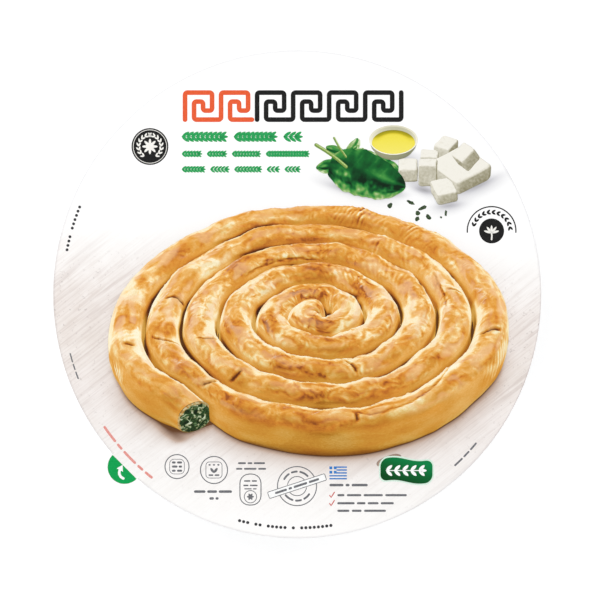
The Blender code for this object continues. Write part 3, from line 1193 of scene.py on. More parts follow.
def offset_ink(name, hex_code, thin_code):
    """Offset ink under thin satin varnish: even colour that thins in tiny specks, with a soft broad sheen."""
    material, tree, shader = start_material(name)
    place = add_node(tree, "ShaderNodeTexCoord", out="Object")
    specks = add_node(tree, "ShaderNodeTexNoise", values={"Scale": per_metre(INK_GRAIN), "Detail": 2.0},
                      links={"Vector": place})
    colour = add_node(tree, "ShaderNodeValToRGB", links={"Fac": specks},
                      stops=((0.35, hex_code), (0.80, thin_code)))
    tree.links.new(colour, shader.inputs["Base Color"])
    return material


# The printed board's tone up the face, on a line that leans a little, and how strongly its marks show there.
BOARD_LEAN = 0.075
BOARD_TONES = (
    (0.03, "#FDFCFB"),
    (0.10, "#FAF8F6"),
    (0.15, "#F8F5F3"),
    (0.20, "#F4EFEC"),
    (0.27, "#F4EEEB"),
    (0.36, "#F0E9E4"),
    (0.45, "#F1EAE6"),
    (0.50, "#F7F2EF"),
    (0.545, "#FBF8F6"),
    (0.60, "#FDFCFB"),
    (0.66, "#FFFFFF"),
)
BOARD_DEPTH = ((0.02, "#404040"), (0.25, "#B0B0B0"), (0.48, "#D0D0D0"), (0.62, "#000000"))
GRAIN_SLANT = math.radians(-38.0)
# The board's marks, which are fine grain, clouds, broad streaks and specks: whether they follow the slant,
# their length, width and depth in millimetres, the noise's detail and roughness, and its tones.
BOARD_MARKS = (
    (True, (26.0, 0.9, 10.0), 3.0, 0.6, ((0.34, "#E9E4E1"), (0.56, "#FFFFFF"))),
    (False, (9.0, 9.0, 9.0), 3.0, 0.5, ((0.38, "#F6F3F1"), (0.62, "#FFFFFF"))),
    (True, (44.0, 2.4, 10.0), 2.0, 0.5, ((0.56, "#FFFFFF"), (0.68, "#E5DFDD"))),
    (False, (1.7, 1.7, 1.7), 2.0, 0.5, ((0.64, "#FFFFFF"), (0.73, "#CFCAC9"))),
)
# The shadows that two fields print on it. The cast field also carries painted shade on the sheet's edge.
BOARD_SHADOWS = {
    "contact": ((0.0, "#FFFFFF"), (0.40, "#CBB5A6"), (1.0, "#6A4527")),
    "cast": ((0.0, "#FFFFFF"), (0.55, "#C6C5CA"), (1.0, "#7E7C7C")),
}


def varnished_sheet_with_board():
    """Satin-varnished white sheet printed with a faint whitewashed board, whose slanting grain fades upwards.

    The board's tone follows y. Its fine grain and broad streaks are noise drawn out along the slant, and its
    clouds and specks are even noise. Two fields darken it: contact, the warm shadow at the coil's foot, and
    cast, the soft grey shadows of the small things, which also carries painted shade on the sheet's edge.
    """
    material, tree, shader = start_material("satin_varnished_sheet")
    place = add_node(tree, "ShaderNodeTexCoord", out="Object")
    upwards = add_node(tree, "ShaderNodeVectorMath", {"operation": "DOT_PRODUCT"},
                       {1: (BOARD_LEAN, 1.0, 0.0)}, {0: place}, out="Value")
    level = add_node(tree, "ShaderNodeMapRange",
                     values={"From Min": -SHEET_RADIUS * MM, "From Max": SHEET_RADIUS * MM},
                     links={"Value": upwards})
    slanted = add_node(tree, "ShaderNodeMapping", values={"Rotation": (0.0, 0.0, GRAIN_SLANT)},
                       links={"Vector": place})
    tones = []
    for slants, sizes, detail, roughness, stops in BOARD_MARKS:
        drawn = add_node(tree, "ShaderNodeMapping", values={"Scale": [per_metre(size) for size in sizes]},
                         links={"Vector": slanted if slants else place})
        marks = add_node(tree, "ShaderNodeTexNoise",
                         values={"Scale": 1.0, "Detail": detail, "Roughness": roughness},
                         links={"Vector": drawn})
        tones.append(add_node(tree, "ShaderNodeValToRGB", links={"Fac": marks}, stops=stops))
    pattern = tones[0]
    for tone in tones[1:]:
        pattern = add_node(tree, "ShaderNodeMix", COLOUR_MULTIPLY, WHOLLY, {MIX_A: pattern, MIX_B: tone},
                           out=MIX_RESULT)
    depth = add_node(tree, "ShaderNodeValToRGB", links={"Fac": level}, stops=BOARD_DEPTH)
    layers = [add_node(tree, "ShaderNodeMix", COLOUR_MIX, {MIX_A: linear("#FFFFFF")},
                       {"Factor": depth, MIX_B: pattern}, out=MIX_RESULT)]
    for field, stops in BOARD_SHADOWS.items():
        amount = add_node(tree, "ShaderNodeAttribute", {"attribute_name": field}, out="Fac")
        layers.append(add_node(tree, "ShaderNodeValToRGB", links={"Fac": amount}, stops=stops))
    colour = add_node(tree, "ShaderNodeValToRGB", links={"Fac": level}, stops=BOARD_TONES)
    for layer in layers:
        colour = add_node(tree, "ShaderNodeMix", COLOUR_MULTIPLY, WHOLLY, {MIX_A: colour, MIX_B: layer},
                          out=MIX_RESULT)
    tree.links.new(colour, shader.inputs["Base Color"])
    return material


# Baked filo from pale leaf edges to the darkest patches, and the tint that it takes from shade to full light.
CRUST_TONES = (
    (0.00, "#FEF4D6"),
    (0.15, "#FADDA3"),
    (0.32, "#F1BC70"),
    (0.50, "#E6A345"),
    (0.68, "#DB8C32"),
    (0.84, "#C6732A"),
    (1.05, "#9C5220"),
)
CRUST_LIGHT = (
    (0.00, "#2B1C0A"),
    (0.04, "#6E5B3A"),
    (0.08, "#9A8A5A"),
    (0.12, "#C2BC84"),
    (0.17, "#DCDFC0"),
    (0.30, "#E6E4CC"),
    (0.45, "#F3F0E2"),
    (0.70, "#FFFFFF"),
)
CRUST_BLUSH = "#F3C9A0"
CRUST_GLEAM = "#FFF3D6"
# The greatest shares of blush and gleam.
BLUSH_SHARE = 0.5
GLEAM_SHARE = 0.75
# Wrinkles to a millimetre along and across the rope, and how far they change browning and light.
WRINKLES = (0.60, 1.25, 1.0)
WRINKLE_BROWN = 0.18
WRINKLE_LIGHT = 0.17


def printed_crust():
    """Process-colour print of baked filo: leafy patches from cream to toast, fine wrinkles, oily gleams.

    The browning field picks the filo's tone and the light field the tint that multiplies it. Fine noise
    along the rope, in its own millimetres, wrinkles both.
    """
    material, tree, shader = start_material("printed_filo_crust")
    blush, gleam = (add_node(tree, "ShaderNodeAttribute", {"attribute_name": name}, out="Fac")
                    for name in ("blush", "gleam"))
    rope = add_node(tree, "ShaderNodeAttribute", {"attribute_name": "rope"}, out="Vector")
    drawn = add_node(tree, "ShaderNodeMapping", values={"Scale": WRINKLES}, links={"Vector": rope})
    wrinkles = add_node(tree, "ShaderNodeTexNoise",
                        values={"Scale": 1.0, "Detail": 4.0, "Roughness": 0.68, "Distortion": 0.6},
                        links={"Vector": drawn})
    toned = {}
    for name, operation, low, high, stops in (
        ("browning", "ADD", -WRINKLE_BROWN, WRINKLE_BROWN, CRUST_TONES),
        ("light", "MULTIPLY", 1 + WRINKLE_LIGHT, 1 - WRINKLE_LIGHT, CRUST_LIGHT),
    ):
        amount = add_node(tree, "ShaderNodeAttribute", {"attribute_name": name}, out="Fac")
        change = add_node(tree, "ShaderNodeMapRange", values={"To Min": low, "To Max": high},
                          links={"Value": wrinkles})
        changed = add_node(tree, "ShaderNodeMath", {"operation": operation}, links={0: amount, 1: change})
        toned[name] = add_node(tree, "ShaderNodeValToRGB", links={"Fac": changed}, stops=stops)
    blushed = add_node(tree, "ShaderNodeMix", COLOUR_MIX, {MIX_B: linear(CRUST_BLUSH)},
                       {"Factor": blush, MIX_A: toned["browning"]}, out=MIX_RESULT)
    shaded = add_node(tree, "ShaderNodeMix", COLOUR_MULTIPLY, WHOLLY,
                      {MIX_A: blushed, MIX_B: toned["light"]}, out=MIX_RESULT)
    colour = add_node(tree, "ShaderNodeMix", COLOUR_MIX, {MIX_B: linear(CRUST_GLEAM)},
                      {"Factor": gleam, MIX_A: shaded}, out=MIX_RESULT)
    tree.links.new(colour, shader.inputs["Base Color"])
    return material


# Chopped greens with white crumbs, the filo leaves round them, and the tint that both take from the light.
FILLING_TONES = ((0.34, "#182C15"), (0.46, "#2F5029"), (0.535, "#587A4A"), (0.59, "#CFDCBC"),
                 (0.68, "#F4F6E8"))
RIM_TONES = ((0.32, "#C98E42"), (0.48, "#E6C07C"), (0.62, "#F8E6BC"))
FILLING_LIGHT = ((0.05, "#2A2A14"), (0.30, "#A9A587"), (0.62, "#FFFFFF"))


def printed_filling():
    """Process-colour print of chopped greens and white crumbs inside a rim of thin pale filo leaves."""
    material, tree, shader = start_material("printed_filling")
    face = add_node(tree, "ShaderNodeAttribute", {"attribute_name": "face"}, out="Vector")
    rim, light = (add_node(tree, "ShaderNodeAttribute", {"attribute_name": name}, out="Fac")
                  for name in ("rim", "light"))
    crumbs = add_node(tree, "ShaderNodeTexNoise", values={"Scale": 0.38, "Detail": 3.0, "Distortion": 1.0},
                      links={"Vector": face})
    chopped = add_node(tree, "ShaderNodeValToRGB", links={"Fac": crumbs}, stops=FILLING_TONES)
    leaves = add_node(tree, "ShaderNodeTexNoise", values={"Scale": 0.7, "Detail": 2.0},
                      links={"Vector": face})
    pale = add_node(tree, "ShaderNodeValToRGB", links={"Fac": leaves}, stops=RIM_TONES)
    whole = add_node(tree, "ShaderNodeMix", COLOUR_MIX, links={"Factor": rim, MIX_A: chopped, MIX_B: pale},
                     out=MIX_RESULT)
    tint = add_node(tree, "ShaderNodeValToRGB", links={"Fac": light}, stops=FILLING_LIGHT)
    colour = add_node(tree, "ShaderNodeMix", COLOUR_MULTIPLY, WHOLLY, {MIX_A: whole, MIX_B: tint},
                      out=MIX_RESULT)
    tree.links.new(colour, shader.inputs["Base Color"])
    return material


def printed_tones(name, field, stops, grain, strength):
    """Process-colour print of one stuff: a field, roughened by noise of a real grain size, picks its tone."""
    material, tree, shader = start_material(name)
    place = add_node(tree, "ShaderNodeTexCoord", out="Object")
    amount = add_node(tree, "ShaderNodeAttribute", {"attribute_name": field}, out="Fac")
    specks = add_node(tree, "ShaderNodeTexNoise", values={"Scale": per_metre(grain), "Detail": 3.0},
                      links={"Vector": place})
    rough = add_node(tree, "ShaderNodeMapRange", values={"To Min": -strength, "To Max": strength},
                     links={"Value": specks})
    tone = add_node(tree, "ShaderNodeMath", {"operation": "ADD"}, links={0: amount, 1: rough})
    colour = add_node(tree, "ShaderNodeValToRGB", links={"Fac": tone}, stops=stops)
    tree.links.new(colour, shader.inputs["Base Color"])
    return material


# White brined cheese: warm grey in its shade, chalk white in the light.
CHEESE_TONES = ((0.20, "#8C866A"), (0.34, "#B3AE98"), (0.50, "#D3CFBF"), (0.68, "#E6E2D5"), (0.86, "#F0EDE3"))
# Fresh leaves: near black in the folds, bottle green, then grass green and a pale waxy shine.
LEAF_TONES = ((0.04, "#03240F"), (0.16, "#08461F"), (0.34, "#13672B"), (0.54, "#3F9140"), (0.74, "#86AE62"),
              (0.95, "#D2E0B6"))
# Olive oil in a white dish: olive under the far rim, clear yellow towards the near one.
OIL_TONES = ((0.0, "#8F8512"), (0.22, "#BCAE1E"), (0.36, "#DDCB35"), (0.62, "#EFE04F"), (0.92, "#F6EC84"))
# Thin white glazed dish, greyed by its own shade.
DISH_TONES = ((0.05, "#84866A"), (0.22, "#B3B192"), (0.38, "#D2CFB6"), (0.60, "#F0ECD6"), (0.85, "#FFFFFF"))
# Deep green label ink, from its lower left to its upper right.
LABEL_TONES = ((0.10, "#00451A"), (0.50, "#00602C"), (0.90, "#007E42"))

# The foil: how far apart its rolling marks and dents are, how deep, its tones, the painted shade in its
# pleats' valleys, and roughness.
ROLLING_LENGTH = 45.0
ROLLING_LINES = 0.5
ROLLING_DEPTH = 0.02
HANDLING_DENTS = 7.0
DENT_DEPTH = 0.25
FOIL_TONES = ((0.30, "#C2C5C8"), (0.70, "#DDDFE1"))
CREASE_SHADE_TONES = ((0.0, "#FFFFFF"), (1.0, "#A9ACB0"))
FOIL_ROUGHNESS = (0.22, 0.40)


def rolled_aluminium():
    """Rolled aluminium foil pressed into a tray: bright grey metal, hairline rolling marks, soft dents.

    The rolling marks run one way across the whole tray, as in the sheet that it was pressed from. They are
    finer than half a millimetre on real foil, and are drawn that coarse so that they show. Painted shade
    darkens the colour in the pleats' valleys, from a field that the tray gives.
    """
    material, tree, shader = start_material("rolled_aluminium_foil", roughness=0.30, metallic=1.0)
    place = add_node(tree, "ShaderNodeTexCoord", out="Object")
    sizes = (ROLLING_LENGTH, ROLLING_LINES, ROLLING_LINES)
    drawn = add_node(tree, "ShaderNodeMapping", values={"Scale": [per_metre(size) for size in sizes]},
                     links={"Vector": place})
    lines = add_node(tree, "ShaderNodeTexNoise", values={"Scale": 1.0, "Detail": 2.0},
                     links={"Vector": drawn})
    dents = add_node(tree, "ShaderNodeTexNoise", values={"Scale": per_metre(HANDLING_DENTS), "Detail": 2.0},
                     links={"Vector": place})
    metal = add_node(tree, "ShaderNodeValToRGB", links={"Fac": lines}, stops=FOIL_TONES)
    # Painted shade: the foil's colour is darkened in the pleats' valleys.
    crease_shade = add_node(tree, "ShaderNodeAttribute", {"attribute_name": "crease_shade"}, out="Fac")
    shade = add_node(tree, "ShaderNodeValToRGB", links={"Fac": crease_shade}, stops=CREASE_SHADE_TONES)
    colour = add_node(tree, "ShaderNodeMix", COLOUR_MULTIPLY, WHOLLY, {MIX_A: metal, MIX_B: shade},
                      out=MIX_RESULT)
    roughness = add_node(tree, "ShaderNodeMapRange",
                         values={"To Min": FOIL_ROUGHNESS[0], "To Max": FOIL_ROUGHNESS[1]},
                         links={"Value": lines})
    hairline = add_node(tree, "ShaderNodeBump", values={"Strength": 0.35, "Distance": ROLLING_DEPTH * MM},
                        links={"Height": lines})
    dented = add_node(tree, "ShaderNodeBump", values={"Strength": 0.6, "Distance": DENT_DEPTH * MM},
                      links={"Height": dents, "Normal": hairline})
    tree.links.new(colour, shader.inputs["Base Color"])
    tree.links.new(roughness, shader.inputs["Roughness"])
    tree.links.new(dented, shader.inputs["Normal"])
    return material


# ------------------------------------------------------------------ the pack's own pieces


def eased(points, reach, steps=6):
    """A line through points whose corners are eased: each is a parabola from reach before to reach after it.

    reach is shortened to under half of either side.
    """
    points = np.asarray(points, float)
    run = np.diff(points, axis=0)
    size = np.linalg.norm(run, axis=1)
    ease = np.minimum(reach, 0.45 * np.minimum(size[:-1], size[1:]))[:, None]
    way = run / size[:, None]
    before, corner, after = points[1:-1] - way[:-1] * ease, points[1:-1], points[1:-1] + way[1:] * ease
    t = np.linspace(0, 1, steps)[None, :, None]
    bend = (1 - t) ** 2 * before[:, None] + 2 * t * (1 - t) * corner[:, None] + t**2 * after[:, None]
    return np.vstack((points[:1], bend.reshape(-1, 2), points[-1:]))


def filled_in(line, step):
    """The line with more points wherever two lie further apart than step."""
    gaps = np.linalg.norm(np.diff(line, axis=0), axis=1)
    counts = np.maximum(np.ceil(gaps / step).astype(int), 1)
    parts = [a + (b - a) * np.linspace(0, 1, n, endpoint=False)[:, None]
             for a, b, n in zip(line[:-1], line[1:], counts)]
    return np.vstack((*parts, line[-1:]))


# The section starts and ends at this radius, where a fan closes it. Its base and wall are eased over these
# lengths and get a row at least this often.
AXIS_RADIUS = 0.4
BASE_EASE, BASE_STEP = 1.0, 12.0
WALL_EASE, WALL_STEP = 1.6, 1.2
INNER_SLOPE = 2.2
PANEL_SLOPE = 3.0
CORNER_HEIGHT = 5.5
CORNER_OUT = 3.4
# The corner's lower point, as shares of its height outwards and upwards.
CORNER_FOOT = (0.55, 0.18)
TOP_INNER_RADIUS = 60.0
# The wall: noise cells and flutes round it, the pleats' depth, the flutes' waver, how much flutes, noise and
# a common inward shift make of the folds, and the height of the slow waves round the upper wall.
PLEATS = 256
PLEAT_DEPTH = 0.16
FLUTES = 168
FLUTE_WAVER = 1.4
FLUTE_SHARE, FOLD_SHARE, FOLD_SHIFT = 0.50, 0.65, 0.6
WALL_WAVES = 0.10
FOIL_COLUMNS = 896


def tray_section():
    """The tray's outer section as (radius, height), from the middle of its base to the middle of its top."""
    panel_radius = BASE_RADIUS - REST_RING
    flange_under = TRAY_TOP - FLANGE_THICKNESS
    bead_centre = np.array((FLANGE_RADIUS - BEAD_RADIUS, TRAY_TOP - BEAD_RADIUS))
    bead = arc(bead_centre, BEAD_RADIUS, -180, 90, 16)
    base = eased((
        (AXIS_RADIUS, PANEL_RISE - INNER_PANEL_DROP),
        (INNER_PANEL_RADIUS, PANEL_RISE - INNER_PANEL_DROP),
        (INNER_PANEL_RADIUS + INNER_SLOPE, PANEL_RISE),
        (panel_radius - PANEL_SLOPE, PANEL_RISE),
        (panel_radius, 0.0),
        (BASE_RADIUS + 1.0, 0.0),
    ), BASE_EASE)
    wall = eased((
        (BASE_RADIUS + 1.0, 0.0),
        (BASE_RADIUS + CORNER_HEIGHT * CORNER_FOOT[0], CORNER_HEIGHT * CORNER_FOOT[1]),
        (BASE_RADIUS + CORNER_HEIGHT * math.tan(WALL_SLOPE) + CORNER_OUT, CORNER_HEIGHT),
        (MOUTH_RADIUS - SHOULDER_STEP, SHOULDER_HEIGHT),
        (MOUTH_RADIUS, SHOULDER_HEIGHT + SHOULDER_RISE),
        (MOUTH_RADIUS + FLANGE_THICKNESS, flange_under),
        (bead[0][0], flange_under),
    ), WALL_EASE)
    top = ((TOP_INNER_RADIUS, TRAY_TOP), (AXIS_RADIUS, TRAY_TOP))
    return np.vstack((filled_in(base, BASE_STEP), filled_in(wall, WALL_STEP)[1:], bead, top))


def add_tray():
    """The foil tray: its section turned once round, with fine pleats pressed into the wall's corner.

    The pleats are a cosine with 168 flutes round, whose phase wavers, and noise with 256 cells round. They
    are strongest low on the wall and gone at the shoulder and at the ring that the tray stands on. Painted
    shade darkens the foil's colour in their valleys.
    """
    section = tray_section()
    radius, height = section[:, :1], section[:, 1:]
    angle = np.linspace(0, FULL_TURN, FOIL_COLUMNS, endpoint=False)[None]
    around = angle / FULL_TURN * PLEATS
    hold = smooth(0.3, 4.0, height) * smooth(SHOULDER_HEIGHT, SHOULDER_HEIGHT - 12.0, height)
    hold = hold * smooth(BASE_RADIUS - 1.0, BASE_RADIUS + 1.0, radius)
    flutes = np.cos(FLUTES * angle + FLUTE_WAVER * noise(around / 6.0, height / 20.0, 203))
    folded = FLUTE_SHARE * flutes + FOLD_SHARE * noise(around, height / 14.0, 201)
    pleats = PLEAT_DEPTH * hold * (folded - FOLD_SHIFT)
    waves = WALL_WAVES * smooth(2.0, 8.0, height) * hold * noise(around / 8.0, height / 20.0, 202)
    reach = radius + pleats + waves
    grid = np.stack((reach * np.cos(angle), reach * np.sin(angle), height + 0 * angle), -1)
    # Painted shade: how much darker the foil is drawn in the pleats' valleys.
    fields = {"crease_shade": hold * smooth(0.25, -0.75, folded)}
    make_piece("foil_tray", [shell(grid, fields)], rolled_aluminium(), replaces="tray",
               smooth_faces=True)


# Soft grey shadows printed under the small things: middle x and y, half length, half width, turn, strength.
CAST_SHADOWS = (
    (32.5, 61.8, 21.0, 5.2, -16.0, 0.42),
    (58.5, 58.2, 7.0, 2.6, 0.0, 0.40),
    (62.5, 79.4, 11.0, 4.0, 0.0, 0.45),
    (67.0, 65.3, 8.0, 3.0, 0.0, 0.25),
    (74.2, 61.6, 9.0, 4.2, -25.0, 0.45),
    (89.0, 51.6, 10.5, 4.6, 10.0, 0.38),
    (105.5, 62.6, 17.0, 5.2, 22.0, 0.42),
    (33.5, 60.0, 15.0, 1.9, -15.0, 0.62),
    (74.0, 60.8, 6.5, 1.8, -12.0, 0.62),
    (88.4, 51.8, 7.5, 1.6, 6.0, 0.45),
    (105.8, 63.4, 12.0, 1.7, 25.0, 0.50),
)


def under_coil(points):
    """1 on the board inside the coil's outer turn, where only the depth of a groove shows."""
    away = (points - COIL_CENTRE) / np.array((1.0, math.sin(PICTURE_TILT)))
    return smooth(COIL_RADIUS - 6.0, COIL_RADIUS - 9.0, np.hypot(away[:, 0], away[:, 1]))


def cast_shadow(points):
    """Soft ellipses: each falls as a bell curve of the distance from its middle in its own half sizes."""
    clear = np.ones(len(points))
    for x, y, length, width, turn, strength in CAST_SHADOWS:
        off = turned(points - (x, y), -math.radians(turn)) / (length, width)
        clear = clear * (1 - strength * np.exp(-1.2 * (off**2).sum(1)))
    return 1 - clear


def add_sheet(board):
    """The printed lid sheet with its tab, the shadows that are printed on it, and painted shade on its edge.
    """
    grid = sheet_grid()
    flat = grid[..., :2].reshape(-1, 2)
    # Painted shade: the sheet's outer ring, rounded edge and underside are darkened so that its outline
    # shows.
    edge = np.zeros(grid.shape[:2])
    edge[SHEET_RINGS - 1:] = EDGE_SHADE
    fields = {
        "contact": under_coil(flat).reshape(grid.shape[:2]),
        "cast": cast_shadow(flat).reshape(grid.shape[:2]) + edge,
    }
    make_piece("printed_lid_sheet", [shell(grid, fields)], board, replaces="lid_sheet",
               smooth_faces=True)


# The ring of shadow round the coil: how far it reaches out and in, how far it stays from the sheet's edge,
# and its columns and rows. Two exponentials darken it: the strength and width of the dark line, and the least
# strength, what the front adds to it and the width of the soft shade.
SHADOW_REACH = 24.0
SHADOW_INSIDE = 4.0
SHADOW_MARGIN = 0.8
SHADOW_COLUMNS = 36
SHADOW_ROWS = 720
SHADOW_LINE = (0.72, 1.15)
SHADOW_SOFT = (0.05, 0.36, 7.0)
# The darker place under the cut end: its middle, half length and half width.
CUT_SHADOW = np.array((-73.0, -80.5, 10.0, 3.6))
CUT_SHADOW_TURN = math.radians(-38.0)
CUT_SHADOW_STRENGTH = 0.60
# The share of the coil's length that makes its outer turn.
OUTER_SHARE = 0.36


def softened(values, steps):
    """The mean of each row and its neighbours up to so many steps away, round a closed ring."""
    return sum(np.roll(values, k, 0) for k in range(-steps, steps + 1)) / (2 * steps + 1)


def add_coil_shadow(outer, board):
    """The shadow printed along the coil's foot: a ring of the board that darkens towards the coil.

    The coil's outline is its furthest point in each direction from its centre, and the ring runs from inside
    it out to the reach or the sheet's edge. The shadow is strong where the nearest foot faces the front, a
    little further round on the right, and thin at the sides. Away from the coil it falls as two exponentials:
    a dark line and a soft warm shade.
    """
    off = outer - COIL_CENTRE
    share = np.arctan2(off[:, 1], off[:, 0]) / FULL_TURN
    bins = np.floor(share * SHADOW_ROWS).astype(int) % SHADOW_ROWS
    edge = np.zeros(SHADOW_ROWS)
    np.maximum.at(edge, bins, np.hypot(off[:, 0], off[:, 1]))
    edge = softened(edge, 2)
    bearing = (np.arange(SHADOW_ROWS) + 0.5) / SHADOW_ROWS * FULL_TURN
    ray = np.stack((np.cos(bearing), np.sin(bearing)), -1)
    outline = COIL_CENTRE + edge[:, None] * ray
    heading = unit_rows(softened(np.roll(outline, -1, 0) - np.roll(outline, 1, 0), 6))
    facing = smooth(0.28, 0.78, heading[:, 0] + 0.06 * (heading[:, 1] > 0))
    facing = softened(facing, 10)

    tilt = ray @ COIL_CENTRE
    furthest = np.sqrt(tilt**2 - COIL_CENTRE @ COIL_CENTRE + (SHEET_RADIUS - SHADOW_MARGIN) ** 2) - tilt
    start = edge - SHADOW_INSIDE
    stop = np.minimum(edge + SHADOW_REACH, furthest)
    share = np.linspace(0.0, 1.0, SHADOW_COLUMNS)[None]
    reach = start[:, None] + (stop - start)[:, None] * share**1.5
    place = COIL_CENTRE + reach[..., None] * ray[:, None]
    depth = np.zeros(reach.shape)
    for column in range(SHADOW_COLUMNS):
        gap = np.linalg.norm(place[:, column, None] - outline[None], axis=-1)
        clear = np.where(reach[:, column] > edge, gap.min(1), 0.0)
        front = facing[gap.argmin(1)]
        dark = SHADOW_LINE[0] * front * np.exp(-((clear / SHADOW_LINE[1]) ** 1.2))
        soft = (SHADOW_SOFT[0] + SHADOW_SOFT[1] * front) * np.exp(-clear / SHADOW_SOFT[2])
        depth[:, column] = dark + soft
    off = turned((place - CUT_SHADOW[:2]).reshape(-1, 2), -CUT_SHADOW_TURN) / CUT_SHADOW[2:]
    depth = depth + CUT_SHADOW_STRENGTH * np.exp(-(off**2).sum(1)).reshape(depth.shape)
    depth = np.minimum(depth, 1.0) * smooth(1.0, 0.55, share)
    cast = cast_shadow(place.reshape(-1, 2)).reshape(reach.shape)
    around = [np.concatenate((field, field[:, [-1, 0]]), 1) for field in (place, depth, cast)]
    height = np.where(np.arange(SHADOW_COLUMNS + 2) < SHADOW_COLUMNS, INK_PASS / 2, -INK_SINK)
    grid = on_sheet(around[0][..., 0], around[0][..., 1], height)
    fields = {"contact": around[1], "cast": around[2]}
    make_piece("coil_shadow_print", [shell(grid, fields, looped=True)], board)


def add_coil():
    """The printed coil in three pieces of its length and its cut end.

    It gives back the points of its outer turn.
    """
    grid, fields = coil()
    face, face_fields = filling_face()
    span = nearness([grid, face])
    flat = pressed(grid, COIL_CENTRE, COIL_DISTANCE, span=span)
    cuts = np.linspace(0, len(flat) - 1, len(COIL_PIECES) + 1).astype(int)
    crust_print = printed_crust()
    for name, start, end in zip(COIL_PIECES, cuts, cuts[1:]):
        rows = slice(start, end + 1)
        part = shell(flat[rows], {key: value[rows] for key, value in fields.items()})
        make_piece(name, [part], crust_print)
    face_print = pressed(face, COIL_CENTRE, COIL_DISTANCE, span=span)
    make_piece("coil_print_cut_end", [shell(face_print, face_fields)], printed_filling())
    outer = flat[: int(len(flat) * OUTER_SHARE), :, :2].reshape(-1, 2)
    return np.vstack((outer, face_print[0, :, :2]))


CHEESE_PLACE = (86.3, 69.7)
# Each block: width, depth, height; turn; its place on the ground and the lean of one that rests on others.
CHEESE_BLOCKS = (
    ((27.0, 27.0, 9.6), 40.0, (9.0, -1.6, 0.0), 0.0),
    ((10.8, 7.5, 15.4), -3.0, (-10.0, -7.8, 0.0), 0.0),
    ((11.0, 12.0, 9.2), 0.0, (-21.6, -1.3, 0.0), 0.0),
    ((10.4, 8.0, 8.0), -4.0, (-9.0, 10.4, 0.0), 0.0),
    ((10.5, 12.0, 11.0), -28.0, (0.6, 17.0, 0.0), 0.0),
    ((11.0, 10.0, 10.5), 40.0, (12.3, -4.0, 11.2), 28.0),
    ((12.3, 15.2, 7.7), 18.0, (-0.6, -20.7, 0.0), 0.0),
)


def add_cheese():
    """A heap of cut white blocks, pressed into the print together so that the near ones cover the far."""
    blocks = [cheese_block(size, turn, place, seed + 301, lean)
              for seed, (size, turn, place, lean) in enumerate(CHEESE_BLOCKS)]
    span = nearness([grid for grid, _ in blocks])
    shells = [shell(pressed(grid, CHEESE_PLACE, span=span), fields) for grid, fields in blocks]
    cheese = printed_tones("printed_white_cheese", "light", CHEESE_TONES, 1.6, 0.16)
    make_piece("cheese_block_prints", shells, cheese)


LEAF_PLACE = (36.7, 71.4)
# Each leaf: its stem's end and tip, the way from near edge to far, width, bulge and paleness.
LEAVES = (
    ((-16.4, 7.7, 0.0), (26.5, -14.8, 0.0), (-0.12, 0.55, 0.83), 26.5, 4.6, 0.0),
    ((-12.9, 16.3, -3.6), (23.9, 4.7, -3.6), (-0.12, 0.55, 0.83), 17.0, 2.0, 0.42),
    ((-11.0, 10.0, -3.0), (-25.7, 7.9, -3.0), (0.0, 0.55, 0.83), 8.4, 1.5, 0.24),
    ((-8.8, 20.8, -4.0), (-19.9, 29.3, -4.0), (0.1, 0.55, 0.83), 6.5, 1.2, 0.14),
    ((-6.6, 18.8, -4.2), (-1.4, 38.0, -4.2), (-0.97, 0.2, 0.1), 7.5, 1.2, 0.05),
    ((-4.6, 17.5, -4.6), (2.0, 29.0, -4.6), (-0.97, 0.2, 0.1), 6.5, 1.2, 0.45),
)
LEAF_TOP = 0.28
# Their stems: points and width. Each is printed twice, the second time as a finer light line on the first:
# shift, share of the width, passes and ink.
LEAF_STEMS = (
    (((11.0, 87.2), (16.8, 83.7), (22.7, 79.6), (28.6, 74.5)), 2.0),
    (((21.5, 91.3), (24.4, 86.0), (28.5, 80.2)), 1.2),
)
STEM_PRINTS = (
    ("leaf_stem_prints", "stem_green_ink", 0.0, 1.0, 9, ("#6C8A3A", "#8DA858")),
    ("leaf_stem_lights", "stem_light_ink", 0.25, 0.42, 11, ("#A2BC68", "#CBDB9A")),
)


def add_leaves():
    """A bunch of fresh leaves with two pale stems."""
    leaves = [leaf_sheet(*leaf, 331 + 7 * seed) for seed, leaf in enumerate(LEAVES)]
    span = nearness([grid for grid, _ in leaves])
    shells = [shell(pressed(grid, LEAF_PLACE, span=span, high=LEAF_TOP), fields) for grid, fields in leaves]
    make_piece("leaf_prints", shells, printed_tones("printed_fresh_leaf", "tone", LEAF_TONES, 1.2, 0.05))
    for name, ink, shift, share, passes, codes in STEM_PRINTS:
        stems = [ribbon(eased(np.array(line) + shift, 4.0), width * share, passes=passes)
                 for line, width in LEAF_STEMS]
        make_piece(name, stems, offset_ink(ink, *codes))


# The dish, as (radius, height) from under its middle over the rim to its middle inside, and its oil.
DISH_PLACE = (56.2, 83.0)
DISH_PROFILE = ((0.3, 0.0), (6.5, 0.0), (8.2, 0.5), (11.4, 3.0), (13.2, 6.0), (13.9, 8.6), (14.1, 9.0),
                (13.8, 9.2), (13.4, 8.9), (13.0, 7.8), (12.2, 5.4), (10.6, 3.8), (6.0, 3.2), (0.3, 3.2))
DISH_RADIUS = 14.1
DISH_RIM = 8.7
DISH_INSIDE = 0.52
OIL_LEVEL = 6.7
OIL_DEPTH = 2.5
OIL_RADIUS = 12.6


